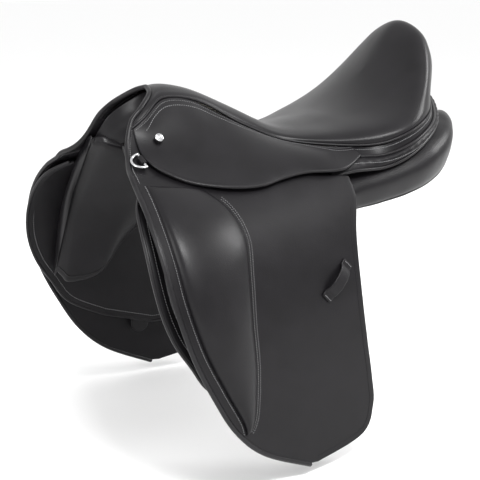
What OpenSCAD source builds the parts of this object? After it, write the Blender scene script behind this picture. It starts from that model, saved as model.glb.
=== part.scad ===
// English dressage saddle, 17.5 inch seat, near side = left.
// +X points to the horse's head, +Y to its left, +Z up.
// Origin: mid-plane, level of the horse's back under the deepest point of the seat.

/* [Leather] */
// Thickness of the flaps, sweat flaps and skirts
leather_t = 4; // [3:0.5:4.5]
// Thickness of the seat leather
seat_leather_t = 3; // [2:0.5:3.5]
// Radius of the rolled piping on the edges
piping_r = 3.5; // [2.5:0.5:4]

/* [Flaps] */
// Height of the flap's fold line under the deepest point of the seat
fold_z = 27.5; // [26:0.5:29]
// Gap in y between the outer face of the flap and that of the sweat flap
sweat_gap = 20; // [18:1:24]
// Greatest thickness of the padded thigh block on the flap
thigh_pad_t = 14; // [8:1:18]
// Length of the girth straps below their hinge line
girth_strap_len = 250; // [200:10:280]
// Width of the girth straps
girth_strap_w = 25; // [22:1:28]

/* [Tree] */
// Width of the rails of the tree
rail_w = 26; // [20:1:28]
// Thickness of the rails of the tree
rail_t = 10; // [8:1:11]
// Thickness of the steel plates on the head
plate_t = 2.5; // [2:0.5:3]

/* [Hardware] */
// Thickness of the stirrup bar
bar_d = 8; // [6:1:9]
// Height of the stirrup bar's section
bar_h = 12; // [10:1:14]
// Length of the free part of the stirrup bar
bar_len = 66; // [60:1:70]
// Inside radius of the dee ring
dee_r = 11; // [10:0.5:12]
// Diameter of the dee ring's wire
dee_wire = 3.5; // [3:0.5:4]
// Diameter of the holes in the girth straps
strap_hole_d = 5; // [4:0.5:6]

/* [Hidden] */
$fn = 32;
// Rise of the fold line towards the front
fold_pitch = 0.125;
// Gap between two pieces that lie on each other
side_clear = 0.4;
// Sides of a bar's section, and the power of its rounding: 2 round, more is squarer
bar_sides = 8;
square_power = 5;

leather = [0.13, 0.13, 0.14];
steel = [0.72, 0.73, 0.75];

// ---- points, curves and solids ----------------------------------------------------------

function unit(v) = v / norm(v);
function flat(rows) = [for (r = rows) each r];
function mirrored(p) = [p[0], -p[1], p[2]];
function clamp_id(i, n) = min(max(i, 0), n - 1);
// Bump that is 0 at both ends of 0 to 1 and 1 in the middle; a low power makes it flat-topped
function hump(t, power) = pow(sin(180 * t), power);

// Smooth curve through a list of points; t runs from 0 to 1 over the whole list
function spline(p, t) =
  let (n = len(p) - 1, s = min(max(t, 0) * n, n - 0.00001), i = floor(s), f = s - i,
       a = p[max(i - 1, 0)], b = p[i], c = p[i + 1], d = p[min(i + 2, n)])
  0.5 * (2 * b + (c - a) * f + (2 * a - 5 * b + 4 * c - d) * f * f
         + (3 * b - a - 3 * c + d) * f * f * f);

// Normal of a grid of points at row i, column j
function grid_normal(g, i, j) =
  let (rows = len(g), cols = len(g[0]),
       du = g[clamp_id(i + 1, rows)][j] - g[clamp_id(i - 1, rows)][j],
       dv = g[i][clamp_id(j + 1, cols)] - g[i][clamp_id(j - 1, cols)])
  unit(cross(du, dv));
function grid_offset(g, d) =
  [for (i = [0 : len(g) - 1]) [for (j = [0 : len(g[0]) - 1]) g[i][j] + d * grid_normal(g, i, j)]];

// Closed solid from points and triangles, whichever way round the triangles run
module solid(points, faces) {
  parts = [for (f = faces) cross(points[f[0]], points[f[1]]) * points[f[2]]];
  volume = parts * [for (f = faces) 1];
  polyhedron(points, volume > 0 ? [for (f = faces) [f[2], f[1], f[0]]] : faces, convexity = 10);
}

// Solid between two grids of the same size
module sheet(a, b) {
  rows = len(a);
  cols = len(a[0]);
  n = rows * cols;
  function at(i, j, k) = k * n + i * cols + j;
  function quad(p, q, r, s) = [[p, q, r], [p, r, s]];
  faces = flat(concat(
    [for (i = [0 : rows - 2], j = [0 : cols - 2])
      quad(at(i, j, 0), at(i, j + 1, 0), at(i + 1, j + 1, 0), at(i + 1, j, 0))],
    [for (i = [0 : rows - 2], j = [0 : cols - 2])
      quad(at(i, j, 1), at(i + 1, j, 1), at(i + 1, j + 1, 1), at(i, j + 1, 1))],
    [for (i = [0 : rows - 2]) quad(at(i, 0, 0), at(i + 1, 0, 0), at(i + 1, 0, 1), at(i, 0, 1))],
    [for (i = [0 : rows - 2])
      quad(at(i + 1, cols - 1, 0), at(i, cols - 1, 0), at(i, cols - 1, 1), at(i + 1, cols - 1, 1))],
    [for (j = [0 : cols - 2]) quad(at(0, j + 1, 0), at(0, j, 0), at(0, j, 1), at(0, j + 1, 1))],
    [for (j = [0 : cols - 2])
      quad(at(rows - 1, j, 0), at(rows - 1, j + 1, 0), at(rows - 1, j + 1, 1), at(rows - 1, j, 1))]));
  solid(concat(flat(a), flat(b)), faces);
}

// Solid skinned over closed rings of points, closed at both ends
module skin(rings) {
  n = len(rings);
  m = len(rings[0]);
  ends = [for (r = [rings[0], rings[n - 1]]) ([for (p = r) 1] * r) / m];
  faces = concat(
    [for (i = [0 : n - 2], j = [0 : m - 1]) [i * m + j, i * m + (j + 1) % m, (i + 1) * m + (j + 1) % m]],
    [for (i = [0 : n - 2], j = [0 : m - 1]) [i * m + j, (i + 1) * m + (j + 1) % m, (i + 1) * m + j]],
    [for (j = [0 : m - 1]) [n * m, (j + 1) % m, j]],
    [for (j = [0 : m - 1]) [n * m + 1, (n - 1) * m + j, (n - 1) * m + (j + 1) % m]]);
  solid(concat(flat(rings), ends), faces);
}

// Ring of points round p, across the direction d; half-width a along side, half-height b
function section(p, d, side, a, b, m, power) =
  let (s = unit(side - (side * unit(d)) * unit(d)), h = unit(cross(s, unit(d))))
  [for (k = [0 : m - 1]) let (w = 360 * (k + 0.5) / m, c = cos(w), q = sin(w))
    p + s * a * sign(c) * pow(abs(c), 2 / power) + h * b * sign(q) * pow(abs(q), 2 / power)];

// Bar or tube swept along a smooth curve through the given points, or beside it by lift
module sweep(points, rings, side, a, b, power = 2, lift = 0) {
  step = 0.002;
  skin([for (i = [0 : rings]) let (t = i / rings,
    d = unit(spline(points, min(t + step, 1)) - spline(points, max(t - step, 0))),
    out = unit(cross(side - (side * d) * d, d)))
    section(spline(points, t) + lift * out, d, side, a, b, bar_sides, power)]);
}

// Grid of straight rungs between two curves
function ladder(front, rear, rows, cols) =
  [for (i = [0 : rows]) let (a = spline(front, i / rows), b = spline(rear, i / rows))
    [for (j = [0 : cols]) a + (b - a) * j / cols]];

// ---- side surface -----------------------------------------------------------------------

// Distance of the flap's outer face from the mid-plane: straight along lines that rise
// towards the front with the fold, rounding over from the top and hanging steep below
front_x = 280;
front_top = 83;
front_reach = 155;
front_level = 42.4;
front_soft = 60;
rear_top = 120;
rear_reach = 88;
rear_level = 78;
rear_soft = 70;
function side_y(x, z) =
  let (h = z - fold_pitch * x,
       front = front_top + front_reach * (1 - exp((h - front_level) / front_soft)),
       rear = rear_top + rear_reach * (1 - exp((h - rear_level) / rear_soft)))
  rear + (front - rear) * x / front_x;
function on_side(p, off) = [p[0], side_y(p[0], p[1]) + off, p[1]];
function side_grid(g, off) = [for (r = g) [for (p = r) on_side(p, off)]];
function fold_at(x) = fold_z + fold_pitch * x;

module side_sheet(grid, outer, inner) sheet(side_grid(grid, outer), side_grid(grid, inner));

// ---- seat -------------------------------------------------------------------------------

// Lines along the seat from the front of the pommel to the back: the mid-plane up to the foot of
// the cantle, half-way out, the top of the edge, its outermost line, and the line it is sewn to
seat_core = [[209, 0, 160.5], [200, 0, 162], [185, 0, 162.5], [150, 0, 154], [98, 0, 131],
  [40, 0, 105], [-5, 0, 105], [-40, 0, 111], [-62, 0, 117], [-76, 0, 122], [-86, 0, 127],
  [-93, 0, 131], [-97, 0, 134]];
seat_mid = [[216, 22, 154], [206, 18, 159], [190, 15, 161], [152, 16, 153], [98, 20, 128.5],
  [42, 32, 102.5], [-7, 46, 101], [-45, 50, 109], [-74, 53, 119], [-100, 49, 136],
  [-119, 38, 156], [-132, 21, 175], [-137, 0, 184]];
seat_rim = [[236, 39, 139], [222, 34, 148], [200, 27, 157], [154, 28, 149.5], [98, 34, 122],
  [45, 52, 97.5], [-9, 80, 96], [-50, 98, 103], [-87, 104, 115], [-122, 98, 138],
  [-151, 78, 174], [-172, 42, 217], [-178, 0, 231]];
seat_bulge = [[250, 44, 127], [233, 42, 138], [205, 33, 153.5], [155, 33, 146.5], [98, 41, 116],
  [46, 60, 94], [-12, 97, 89], [-58, 123, 94], [-102, 132, 107], [-144, 114, 128],
  [-176, 82, 154], [-201, 42, 181], [-212, 0, 190]];
seat_welt = [[256, 48.5, 118], [238, 47, 130], [207, 36, 151], [156, 35, 143.5], [98, 43, 112],
  [46, 63, 90], [-14, 99, 83], [-60, 126, 85], [-104, 134, 99], [-147, 115, 114],
  [-179, 79, 125], [-202, 40, 134], [-211, 0, 139]];

function seat_point(s, t) =
  let (c = spline(seat_core, s), m = spline(seat_mid, s), r = spline(seat_rim, s),
       b = spline(seat_bulge, s), w = spline(seat_welt, s))
  spline([mirrored(m), c, m, r, b, w], (1 + 4 * t) / 5);
seat_rows = 26;
seat_cols = 9;
// Unit normal of the seat's surface, pointing into the saddle; no sideways part on the mid-plane
function seat_normal(s, t) =
  let (e = 0.01, u = min(s, 1 - 2 * e), v = max(t, 2 * e),
       n = cross(seat_point(u + e, v) - seat_point(max(u - e, 0), v),
                 seat_point(u, min(v + e, 1)) - seat_point(u, v - e)))
  unit([n[0], (t == 0 || s == 1) ? 0 : n[1], n[2]]);
// A point moved inwards from q, kept on its own side of the mid-plane
mid_share = 0.35;
function seat_inside(p, q) = [p[0], max(p[1], mid_share * q[1]), p[2]];
// The seat's surface moved inwards, starting behind the front edge and thinner near it
thin_slope = 80;
function seat_grid(depth, edge_depth, from = 0, thin = 0) =
  [for (i = [0 : seat_rows])
    let (s = max(i / seat_rows, from), mid = depth - max(thin - thin_slope * s, 0))
    [for (j = [0 : seat_cols]) let (t = j / seat_cols, d = mid + (edge_depth - mid) * pow(t, 3))
      let (q = seat_point(s, t)) seat_inside(q + d * seat_normal(s, t), q)]];
module both_sides() {
  union() {
    children();
    mirror([0, 1, 0]) children();
  }
}

module seat_cover() color(leather) both_sides()
  sheet(seat_grid(0, 0), seat_grid(seat_leather_t, seat_leather_t));

foam_t = 12.5;
foam_edge_t = 3;
foam_from = 0.03;
foam_thin = 11;
module seat_foam() color("beige") both_sides()
  sheet(seat_grid(seat_leather_t + side_clear, seat_leather_t + side_clear, foam_from),
        seat_grid(seat_leather_t + foam_t, seat_leather_t + foam_edge_t, foam_from, foam_thin));

// ---- skirts and the strip of leather round the head --------------------------------------

// Where the skirt is sewn to the seat, the straight line that it folds on, and its free edge
skirt_seam = [[254, 51, 116.5], [236, 50, 128], [207, 39, 147.5], [170, 37, 145], [132, 40, 127],
  [97, 47, 109], [64, 58, 94], [36, 72, 85.5], [-4, 98, 79.5]];
skirt_edge = [[253.5, 77.5, 87], [248, 93, 80.5], [236, 109, 71.5], [212, 126.5, 61.5], [170, 140.5, 55],
  [130, 143, 53.5], [95, 138, 58.5], [60, 137, 62], [14, 145, 63]];
skirt_fold_front = [256, 61.5, 101];
skirt_fold_rear = [0, 143, 63.5];
skirt_fold_x = [253, 240, 216, 182, 147, 112, 80, 48, 12];
skirt_fold = [for (x = skirt_fold_x)
  skirt_fold_rear + (skirt_fold_front - skirt_fold_rear) * x / skirt_fold_front[0]];
skirt_rows = 18;
skirt_cols = 3;
fold_gap = 0.5;
fold_down = unit([0, 0.8, -0.6]);
skirt_top_grid = ladder(skirt_seam, skirt_fold, skirt_rows, skirt_cols);
skirt_grid = ladder([for (p = skirt_fold) p + fold_gap * fold_down], skirt_edge, skirt_rows, skirt_cols);
// Both faces of the fold lean the same way, so that they stay a gap apart
function fold_lean(i) =
  leather_t * unit(grid_normal(skirt_top_grid, i, skirt_cols) + grid_normal(skirt_grid, i, 0));

module skirt_top() color(leather) {
  inner = grid_offset(skirt_top_grid, leather_t);
  sheet(skirt_top_grid, [for (i = [0 : skirt_rows])
    [inner[i][0], inner[i][1], inner[i][2], skirt_top_grid[i][3] + fold_lean(i)]]);
}
module skirt() color(leather) {
  inner = grid_offset(skirt_grid, leather_t);
  sheet(skirt_grid, [for (i = [0 : skirt_rows])
    [skirt_grid[i][0] + fold_lean(i), inner[i][1], inner[i][2], inner[i][3]]]);
}

stud_pos = [229, 67.5, 106];
stud_tilt = 52;
stud_d = 11;
stud_t = 3;
stud_dome_d = 7;
stud_dome_h = 1.6;
module skirt_stud() color(steel) translate(stud_pos) rotate([-stud_tilt, 0, 0]) {
  cylinder(d = stud_d, h = stud_t);
  translate([0, 0, stud_t]) cylinder(d1 = stud_d, d2 = stud_dome_d, h = stud_dome_h);
}

// Front edge of the head, from the fold line up to the middle of the pommel
head_edge = [[282, 106, 68.5], [278, 90, 74.5], [273, 78, 81], [269, 68, 88.5], [265, 59.5, 97.5],
  [261, 53.5, 107], [256, 48.5, 118], [250, 44, 127], [236, 39, 139], [216, 22, 154], [209, 0, 160.5]];

// Top of the flap: a strip above the fold line that stays with the tree, cut out round the
// stirrup bar, and going on up the front edge of the head
flap_top_low = [[6, 0], [70, 0], [140, 0], [205, 0], [250, 0], [282, 0]];
flap_top_high = [[3, 24], [66, 22], [126, 16], [146, 9], [222, 8.5], [248, 15]];
flap_top_inner = [[257, 96, 72.5], [258.5, 84, 77.5], [258.5, 73, 84], [257, 64.5, 91], [255, 57.5, 99],
  [252.5, 54.5, 106]];
flap_top_rows = 40;
flap_top_cols = 2;
module flap_top() color(leather) {
  low = [for (p = flap_top_low) on_side([p[0], fold_at(p[0]) + fold_gap], 0)];
  high = [for (p = flap_top_high) on_side([p[0], fold_at(p[0]) + p[1]], 0)];
  head = [for (i = [0 : len(flap_top_inner) - 1]) head_edge[i]];
  outer = ladder(concat(low, head), concat(high, flap_top_inner), flap_top_rows, flap_top_cols);
  sheet(outer, grid_offset(outer, leather_t));
}

// ---- flaps ------------------------------------------------------------------------------

flap_front = [[283, fold_at(283)], [289, 26], [289.5, -15], [285, -58], [268, -115], [243, -166],
  [213, -214], [172, -251], [104, -283]];
flap_rear = [[6, fold_at(6)], [18, -7], [22, -45], [20, -95], [14, -146], [6, -195], [3, -232],
  [20, -267], [92, -284]];
flap_rows = 22;
flap_cols = 7;
module flap() color(leather) {
  outer = side_grid(ladder(flap_front, flap_rear, flap_rows, flap_cols), 0);
  sheet(outer, grid_offset(outer, -leather_t));
}

pad_front = [[271, 60], [277, 26], [277.5, -15], [273.5, -58], [257, -113], [232, -163],
  [209, -204], [203, -222]];
pad_rear = [[206, 52], [186, 32], [179, 2], [186, -38], [190, -90], [188, -146], [191, -200],
  [199, -219]];
pad_rows = 20;
pad_cols = 8;
// Gap in y under the pad, its thickness at the edge, and the powers of its rounding
pad_clear = 1.2;
pad_edge_t = 1.5;
round_along = 0.5;
round_across = 0.6;
module thigh_pad() color(leather) {
  grid = ladder(pad_front, pad_rear, pad_rows, pad_cols);
  outer = [for (i = [0 : pad_rows]) [for (j = [0 : pad_cols])
    on_side(grid[i][j], pad_clear + pad_edge_t + (thigh_pad_t - pad_edge_t - 0.5)
      * hump(i / pad_rows, round_along) * hump(j / pad_cols, round_across))]];
  sheet(outer, side_grid(grid, pad_clear));
}

// Piping along the flap's front edge, from just below the fold line
edge_off = piping_r + side_clear;
pipe_start = [1, 3, -7];
flap_pipe_rings = 34;
module flap_piping() color(leather) {
  n = len(flap_front);
  path = [for (i = [0 : n - 1]) let (d = unit(flap_front[max(i - 1, 0)] - flap_front[min(i + 1, n - 1)]))
    on_side(flap_front[i] + edge_off * [d[1], -d[0]], -leather_t / 2)];
  line = concat([path[0] + pipe_start], [for (i = [1 : n - 1]) path[i]]);
  sweep(line, flap_pipe_rings, [1, 0, 0], piping_r, piping_r);
}

// Slanted loop near the rear edge that holds the end of the stirrup leather
keeper_low = [76, -79];
keeper_high = [42, -46];
keeper_w = 14;
keeper_t = 2.5;
keeper_bow = 8;
keeper_rows = 14;
keeper_tab = 2;
module leather_keeper() color(leather) {
  along = unit([keeper_high[0] - keeper_low[0], keeper_high[1] - keeper_low[1]]);
  across = [along[1], -along[0]] * keeper_w / 2;
  rows = [for (i = [0 : keeper_rows])
    let (q = keeper_low + (keeper_high - keeper_low) * i / keeper_rows,
         free = min(max((i - keeper_tab) / (keeper_rows - 2 * keeper_tab), 0), 1),
         bow = 0.1 + keeper_bow * hump(free, round_across))
    [for (side = [1, -1]) on_side(q + across * side, bow)]];
  outer = [for (r = rows) [for (p = r) p + [0, keeper_t, 0]]];
  sheet(outer, rows);
}

// ---- sweat flaps and knee blocks ----------------------------------------------------------

sweat_front = [[268, 56], [292, 34], [300, -10], [297, -58], [284, -98], [263, -131], [237, -166],
  [186, -192]];
sweat_rear = [[18, 25], [19, -10], [17, -60], [13, -105], [12, -150], [26, -188], [60, -208],
  [112, -213]];
sweat_rows = 20;
sweat_cols = 7;
module sweat_flap() color(leather)
  side_sheet(ladder(sweat_front, sweat_rear, sweat_rows, sweat_cols), -sweat_gap, -sweat_gap - leather_t);

block_front = [[282, 12], [288, -22], [285, -60], [271, -98], [250, -130], [228, -158]];
block_rear = [[262, 14], [254, -22], [248, -58], [236, -92], [218, -122], [204, -150]];
block_rows = 14;
block_cols = 6;
// Gap in y under the block, its thickness at the edge and the bulge of its middle
block_clear = 1;
block_edge_t = 2;
block_bulge = 9;
module knee_block() color([0.08, 0.08, 0.08]) {
  grid = ladder(block_front, block_rear, block_rows, block_cols);
  outer = [for (i = [0 : block_rows]) [for (j = [0 : block_cols])
    on_side(grid[i][j], block_clear + block_edge_t - sweat_gap
      + block_bulge * hump(i / block_rows, round_along) * hump(j / block_cols, round_along))]];
  sheet(outer, side_grid(grid, block_clear - sweat_gap));
}

// ---- panels -------------------------------------------------------------------------------

// Stations from the rear to the front: x, half thickness, then five points (y, z) of the middle
// line from the channel to the outer or lower edge
panel_stations = [
  [-234, 7, [38, 82], [40, 82], [42, 82], [44, 82], [46, 82]],
  [-227, 20, [36, 81], [40, 81], [44, 81], [48, 81], [53, 81]],
  [-212, 28, [35, 76], [44, 77], [54, 77], [64, 77], [75, 76]],
  [-188, 32, [35, 65], [51, 67], [68, 67], [85, 66], [102, 64]],
  [-145, 34, [36, 48], [57, 51], [79, 51], [102, 50], [124, 46]],
  [-80, 27, [36, 35], [58, 38], [84, 38], [110, 36], [134, 31]],
  [0, 23, [37, 35], [58, 38], [82, 37], [108, 32], [135, 18]],
  [55, 19, [38, 43], [58, 45], [82, 36], [108, 18], [136, -12]],
  [100, 14, [39, 58], [56, 54], [78, 34], [106, 4], [138, -30]],
  [145, 11, [36, 71], [48, 58], [66, 36], [102, 0], [150, -44]],
  [178, 10, [36, 77], [47, 60], [66, 36], [110, -10], [162, -76]],
  [203, 10, [35, 80], [46, 62], [66, 38], [120, -20], [178, -122]],
  [245, 10, [36, 80], [48, 61], [70, 36], [134, -22], [188, -132]],
  [266, 4, [44, 80], [56, 62], [80, 38], [144, -20], [188, -112]]];
function panel_middle(s, t) =
  let (row = spline([for (k = panel_stations) concat([k[0], k[1]], k[2], k[3], k[4], k[5], k[6])], s),
       q = spline([for (k = [0 : 4]) [row[0], row[2 + 2 * k], row[3 + 2 * k]]], t)) concat(q, row[1]);
panel_rings = 30;
panel_sides = 20;
panel_power = 0.62;
function swell(a) = sign(a) * pow(abs(a), panel_power);
module panel() color(leather) {
  e = 0.02;
  skin([for (i = [0 : panel_rings]) let (s = i / panel_rings)
    [for (k = [0 : panel_sides - 1])
      let (w = 360 * (k + 0.5) / panel_sides, t = (1 + swell(cos(w))) / 2, m = panel_middle(s, t),
           a = panel_middle(s, max(t - e, 0)), b = panel_middle(s, min(t + e, 1)),
           n = unit([0, b[2] - a[2], a[1] - b[1]]))
      [m[0], m[1], m[2]] - n * swell(sin(w)) * m[3]]]);
}

// ---- tree ----------------------------------------------------------------------------------

rail_path = [[188, 31, 124.2], [176, 27, 124.3], [150, 24, 118], [98, 27, 95.5], [45, 42, 75.5],
  [-12, 62, 67.5], [-60, 82, 70], [-105, 88, 82], [-142, 72, 97], [-170, 44, 112], [-182, 0, 120]];
arch_path = [[236, 92, 53], [236, 72, 71], [227, 53, 94], [210, 37, 116], [197, 20, 132],
  [192, 0, 137]];
arch_w = 20;
rail_rings = 56;
arch_rings = 36;
wing_t = 7;
wing_rows = 8;
wing_cols = 4;
// Directions a swept bar's width lies in: across the saddle, or along it
across = [0.01, 1, 0.01];
ahead = [1, 0, 0];
wing_high = [[218, 42, 106.5], [198, 37, 114.5], [170, 35, 112.5], [143, 34, 107.5]];
wing_mid = [[219, 68, 86], [198, 68, 87], [170, 68, 85], [143, 68, 81]];
wing_low = [[222, 79.5, 52], [198, 79.5, 52], [170, 79.5, 50], [143, 79.5, 50]];
function both(path) = concat(path, [for (i = [len(path) - 2 : -1 : 0]) mirrored(path[i])]);
module tree() color("burlywood") {
  sweep(both(rail_path), rail_rings, across, rail_w / 2, rail_t / 2, square_power);
  sweep(both(arch_path), arch_rings, ahead, arch_w / 2, rail_t / 2, square_power);
  both_sides() {
    columns = [for (i = [0 : wing_rows])
      let (s = i / wing_rows, q = [spline(wing_high, s), spline(wing_mid, s), spline(wing_low, s)])
      [for (j = [0 : wing_cols]) spline(q, j / wing_cols)]];
    sheet(grid_offset(columns, wing_t / 2), grid_offset(columns, -wing_t / 2));
  }
}

// Steel plates over and under the arch of the head
plate_gap = 0.6;
plate_off = rail_t / 2 + plate_t / 2 + plate_gap;
plate_w = 11;
head_plate_rings = 32;
gullet_plate_rings = 20;
plate_fore = [2.5, 0, 0];
plate_path = [for (p = arch_path) p + plate_fore];
module head_plate() color(steel)
  sweep(both(plate_path), head_plate_rings, ahead, plate_w / 2, plate_t / 2, square_power, -plate_off);
module gullet_plate() color(steel)
  sweep(both([for (i = [2 : 5]) plate_path[i]]), gullet_plate_rings, ahead, plate_w / 2, plate_t / 2,
        square_power, plate_off);
rivet_d = 4;
rivet_end = 2;
module tree_rivets() color(steel) for (side = [-1, 1], i = [2, 3]) {
  p = plate_path[i];
  along = plate_path[i + 1] - plate_path[i - 1];
  out = unit([0, along[2], -along[1]]);
  translate([p[0], side * p[1], p[2]]) rotate([-side * acos(out[2]), 0, 0])
    translate([0, 0, -plate_off - rivet_end]) cylinder(d = rivet_d, h = 2 * (plate_off + rivet_end));
}
// Spring steel strip on top of each rail
spring_rings = 32;
spring_w = 14;
spring_t = 1.6;
spring_lift = [0, 0, rail_t / 2 + 1.8];
module spring() color(steel)
  sweep([for (i = [1 : 8]) rail_path[i] + spring_lift], spring_rings, across, spring_w / 2, spring_t / 2,
        square_power);
// Webs that carry the seat: two along the tree and one across them
web_path = [[183, 9, 141.4], [150, 9, 132.5], [98, 9, 109], [40, 9, 85], [-5, 9, 85], [-40, 9, 91],
  [-76, 9, 101], [-114, 9, 112], [-150, 9, 119]];
web_rings = 24;
web_w = 15;
web_t = 1.8;
cross_web_pos = [10, -37.5, 80.6];
cross_web_size = [26, 75, web_t];
module seat_webs() color("wheat") {
  both_sides() sweep(web_path, web_rings, across, web_w / 2, web_t / 2, square_power);
  translate(cross_web_pos) cube(cross_web_size);
}

// ---- stirrup bar -----------------------------------------------------------------------------

bar_pos = [150, 102, 60];
bar_arm = 10;
bar_plate_y = 83.9;
bar_plate_t = 3.5;
bar_plate_low = 51;
bar_plate_h = 24;
bar_plate_end = 2;
// Hinged catch at the rear end of the bar: a tongue on the bar between two cheeks, on a pin
catch_pin_d = 2;
catch_pin_clear = 0.12;
catch_x = -4;
catch_r = 2.9;
catch_len = 9.5;
tongue_t = 3;
tongue_len = 5;
cheek_y = 2.85;
cheek_t = 2.1;
catch_tip = 4;
catch_w = 2 * cheek_y + cheek_t;
module rounded_bar(l) rotate([90, 0, 90]) linear_extrude(l) {
  for (side = [-1, 1]) translate([0, side * (bar_h - bar_d) / 2]) circle(d = bar_d);
  square([bar_d, bar_h - bar_d], center = true);
}
module stirrup_bar() color(steel) {
  translate(bar_pos) rounded_bar(bar_len + bar_arm);
  translate([bar_pos[0] + bar_len, bar_plate_y, bar_pos[2] - bar_h / 2 + 1])
    cube([bar_arm, bar_pos[1] - bar_plate_y, bar_h - 2]);
  translate([bar_pos[0] - bar_plate_end, bar_plate_y, bar_plate_low])
    cube([bar_len + bar_arm + bar_plate_end, bar_plate_t, bar_plate_h]);
  translate(bar_pos + [catch_x, 0, 0]) {
    rotate([90, 0, 0]) cylinder(r = catch_r, h = tongue_t, center = true);
    translate([0, -tongue_t / 2, -catch_r]) cube([tongue_len, tongue_t, 2 * catch_r]);
    rotate([90, 0, 0]) cylinder(d = catch_pin_d, h = bar_d, center = true);
  }
}
module bar_catch() color(steel) translate(bar_pos + [catch_x, 0, 0]) difference() {
  union() {
    for (side = [-1, 1]) translate([0, side * cheek_y, 0]) rotate([90, 0, 0])
      cylinder(r = catch_r, h = cheek_t, center = true);
    for (side = [-1, 1]) translate([-catch_len, side * cheek_y - cheek_t / 2, -catch_r])
      cube([catch_len, cheek_t, 2 * catch_r]);
    translate([-catch_len, -catch_w / 2, -catch_r]) cube([catch_tip, catch_w, 2 * catch_r]);
  }
  rotate([90, 0, 0]) cylinder(d = catch_pin_d + catch_pin_clear, h = 2 * catch_w, center = true);
}

// ---- dee ring ----------------------------------------------------------------------------------

dee_pos = [259.7, 84.5, 84.6];
dee_tilt = 27;
dee_drop = 12;
dee_mid_r = dee_r + dee_wire / 2;
module at_dee() translate(dee_pos) rotate([-dee_tilt, 0, 0]) children();
module dee() color(steel) at_dee() rotate([0, dee_drop, 0]) {
  rotate([0, 0, -90]) rotate_extrude(angle = 180) translate([dee_mid_r, 0]) circle(d = dee_wire);
  rotate([90, 0, 0]) cylinder(d = dee_wire, h = 2 * dee_mid_r, center = true);
  for (side = [-1, 1]) translate([0, side * dee_mid_r, 0]) sphere(d = dee_wire);
}
// Leather loop round the dee ring's straight wire, with the tab that it is sewn down by
chape_w = 12;
chape_d = 7;
chape_clear = 0.16;
tab_t = 4;
tab_len = 5.2;
tab_fore = -1.5;
module dee_chape() color(leather) at_dee() difference() {
  union() {
    rotate([90, 0, 0]) cylinder(d = chape_d, h = chape_w, center = true);
    translate([tab_fore, -chape_w / 2, -tab_len]) cube([tab_t, chape_w, tab_len]);
  }
  rotate([90, 0, 0]) cylinder(d = dee_wire + chape_clear, h = 2 * chape_w, center = true);
}

// ---- piping, lining and binding ------------------------------------------------------------------

pipe_off = piping_r + 0.5;
pommel_rings = 60;
// A point of a line, moved forward by the piping's radius, square to the line
function beside(path, i) =
  let (n = len(path), t = unit(path[clamp_id(i + 1, n)] - path[clamp_id(i - 1, n)]))
  path[i] + pipe_off * unit([1, 0, 0] - t[0] * t);
module pommel_piping() color(leather) {
  half = [for (i = [0 : len(head_edge) - 1]) i == len(head_edge) - 1
    ? head_edge[i] + [pipe_off, 0, 0] : beside(head_edge, i)];
  sweep(both(half), pommel_rings, ahead, piping_r, piping_r);
}

lining_t = 2.5;
lining_front = [[205, 0, 154], [211, 18, 148.5], [230, 33.5, 133.5], [245, 39.5, 120.5],
  [253.5, 47, 105.5], [258.5, 57, 90], [263, 71.5, 77]];
lining_mid = [[213, 0, 132], [216, 16, 127], [229, 30, 112], [243, 42, 98], [250, 55, 84],
  [255, 69, 70]];
lining_rear = [[188, 0, 118], [191, 10, 116], [202, 21, 106], [217, 32, 97], [234, 45, 88],
  [247, 60, 74]];
lining_rows = 28;
lining_cols = 5;
module arch_lining() color(leather) {
  outer = [for (i = [0 : lining_rows])
    let (s = i / lining_rows, q = [spline(both_down(lining_front), s),
         spline(both_down(lining_mid), s), spline(both_down(lining_rear), s)])
    [for (j = [0 : lining_cols]) spline(q, j / lining_cols)]];
  sheet(outer, grid_offset(outer, -lining_t));
}
// From the left end over the middle to the right end, for a list that starts in the middle
function both_down(path) =
  concat([for (i = [len(path) - 1 : -1 : 1]) path[i]], [for (p = path) mirrored(p)]);

band_t = 3;
band_rows = 44;
band_cols = 2;
band_drop = [0, 0, 3.2];
band_high = [for (i = [6 : 12]) seat_welt[i] - band_drop];
band_low = [[-8, 143, 57], [-56, 141, 57], [-98, 137, 67], [-138, 123, 82], [-174, 99, 97],
  [-204, 60, 112], [-219, 28, 123], [-223, 0, 127]];
module cantle_band() color(leather) {
  outer = ladder(both(band_high), both(band_low), band_rows, band_cols);
  sheet(outer, grid_offset(outer, band_t));
}

// ---- girth straps ----------------------------------------------------------------------------------

strap_t = 3.5;
strap_x = [128, 62];
strap_mid = -12;
strap_top_z = [33, 25];
strap_bend_z = -110;
strap_bend_rows = 11;
strap_step_y = 2.5;
strap_step_z = 12;
hole_end = 20;
hole_pitch = 25;
hole_count = 5;
function strap_y(x, z) =
  side_y(x, max(z, strap_bend_z)) + strap_mid + (z < strap_bend_z ? strap_step_y : 0);
// Strip of the given thickness along a line of points (y, z)
function strip(line, t) =
  let (n = len(line), side = [for (i = [0 : n - 1])
    let (d = unit(line[clamp_id(i + 1, n)] - line[clamp_id(i - 1, n)])) [-d[1], d[0]] * t / 2])
  concat([for (i = [0 : n - 1]) line[i] + side[i]], [for (i = [n - 1 : -1 : 0]) line[i] - side[i]]);
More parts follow.
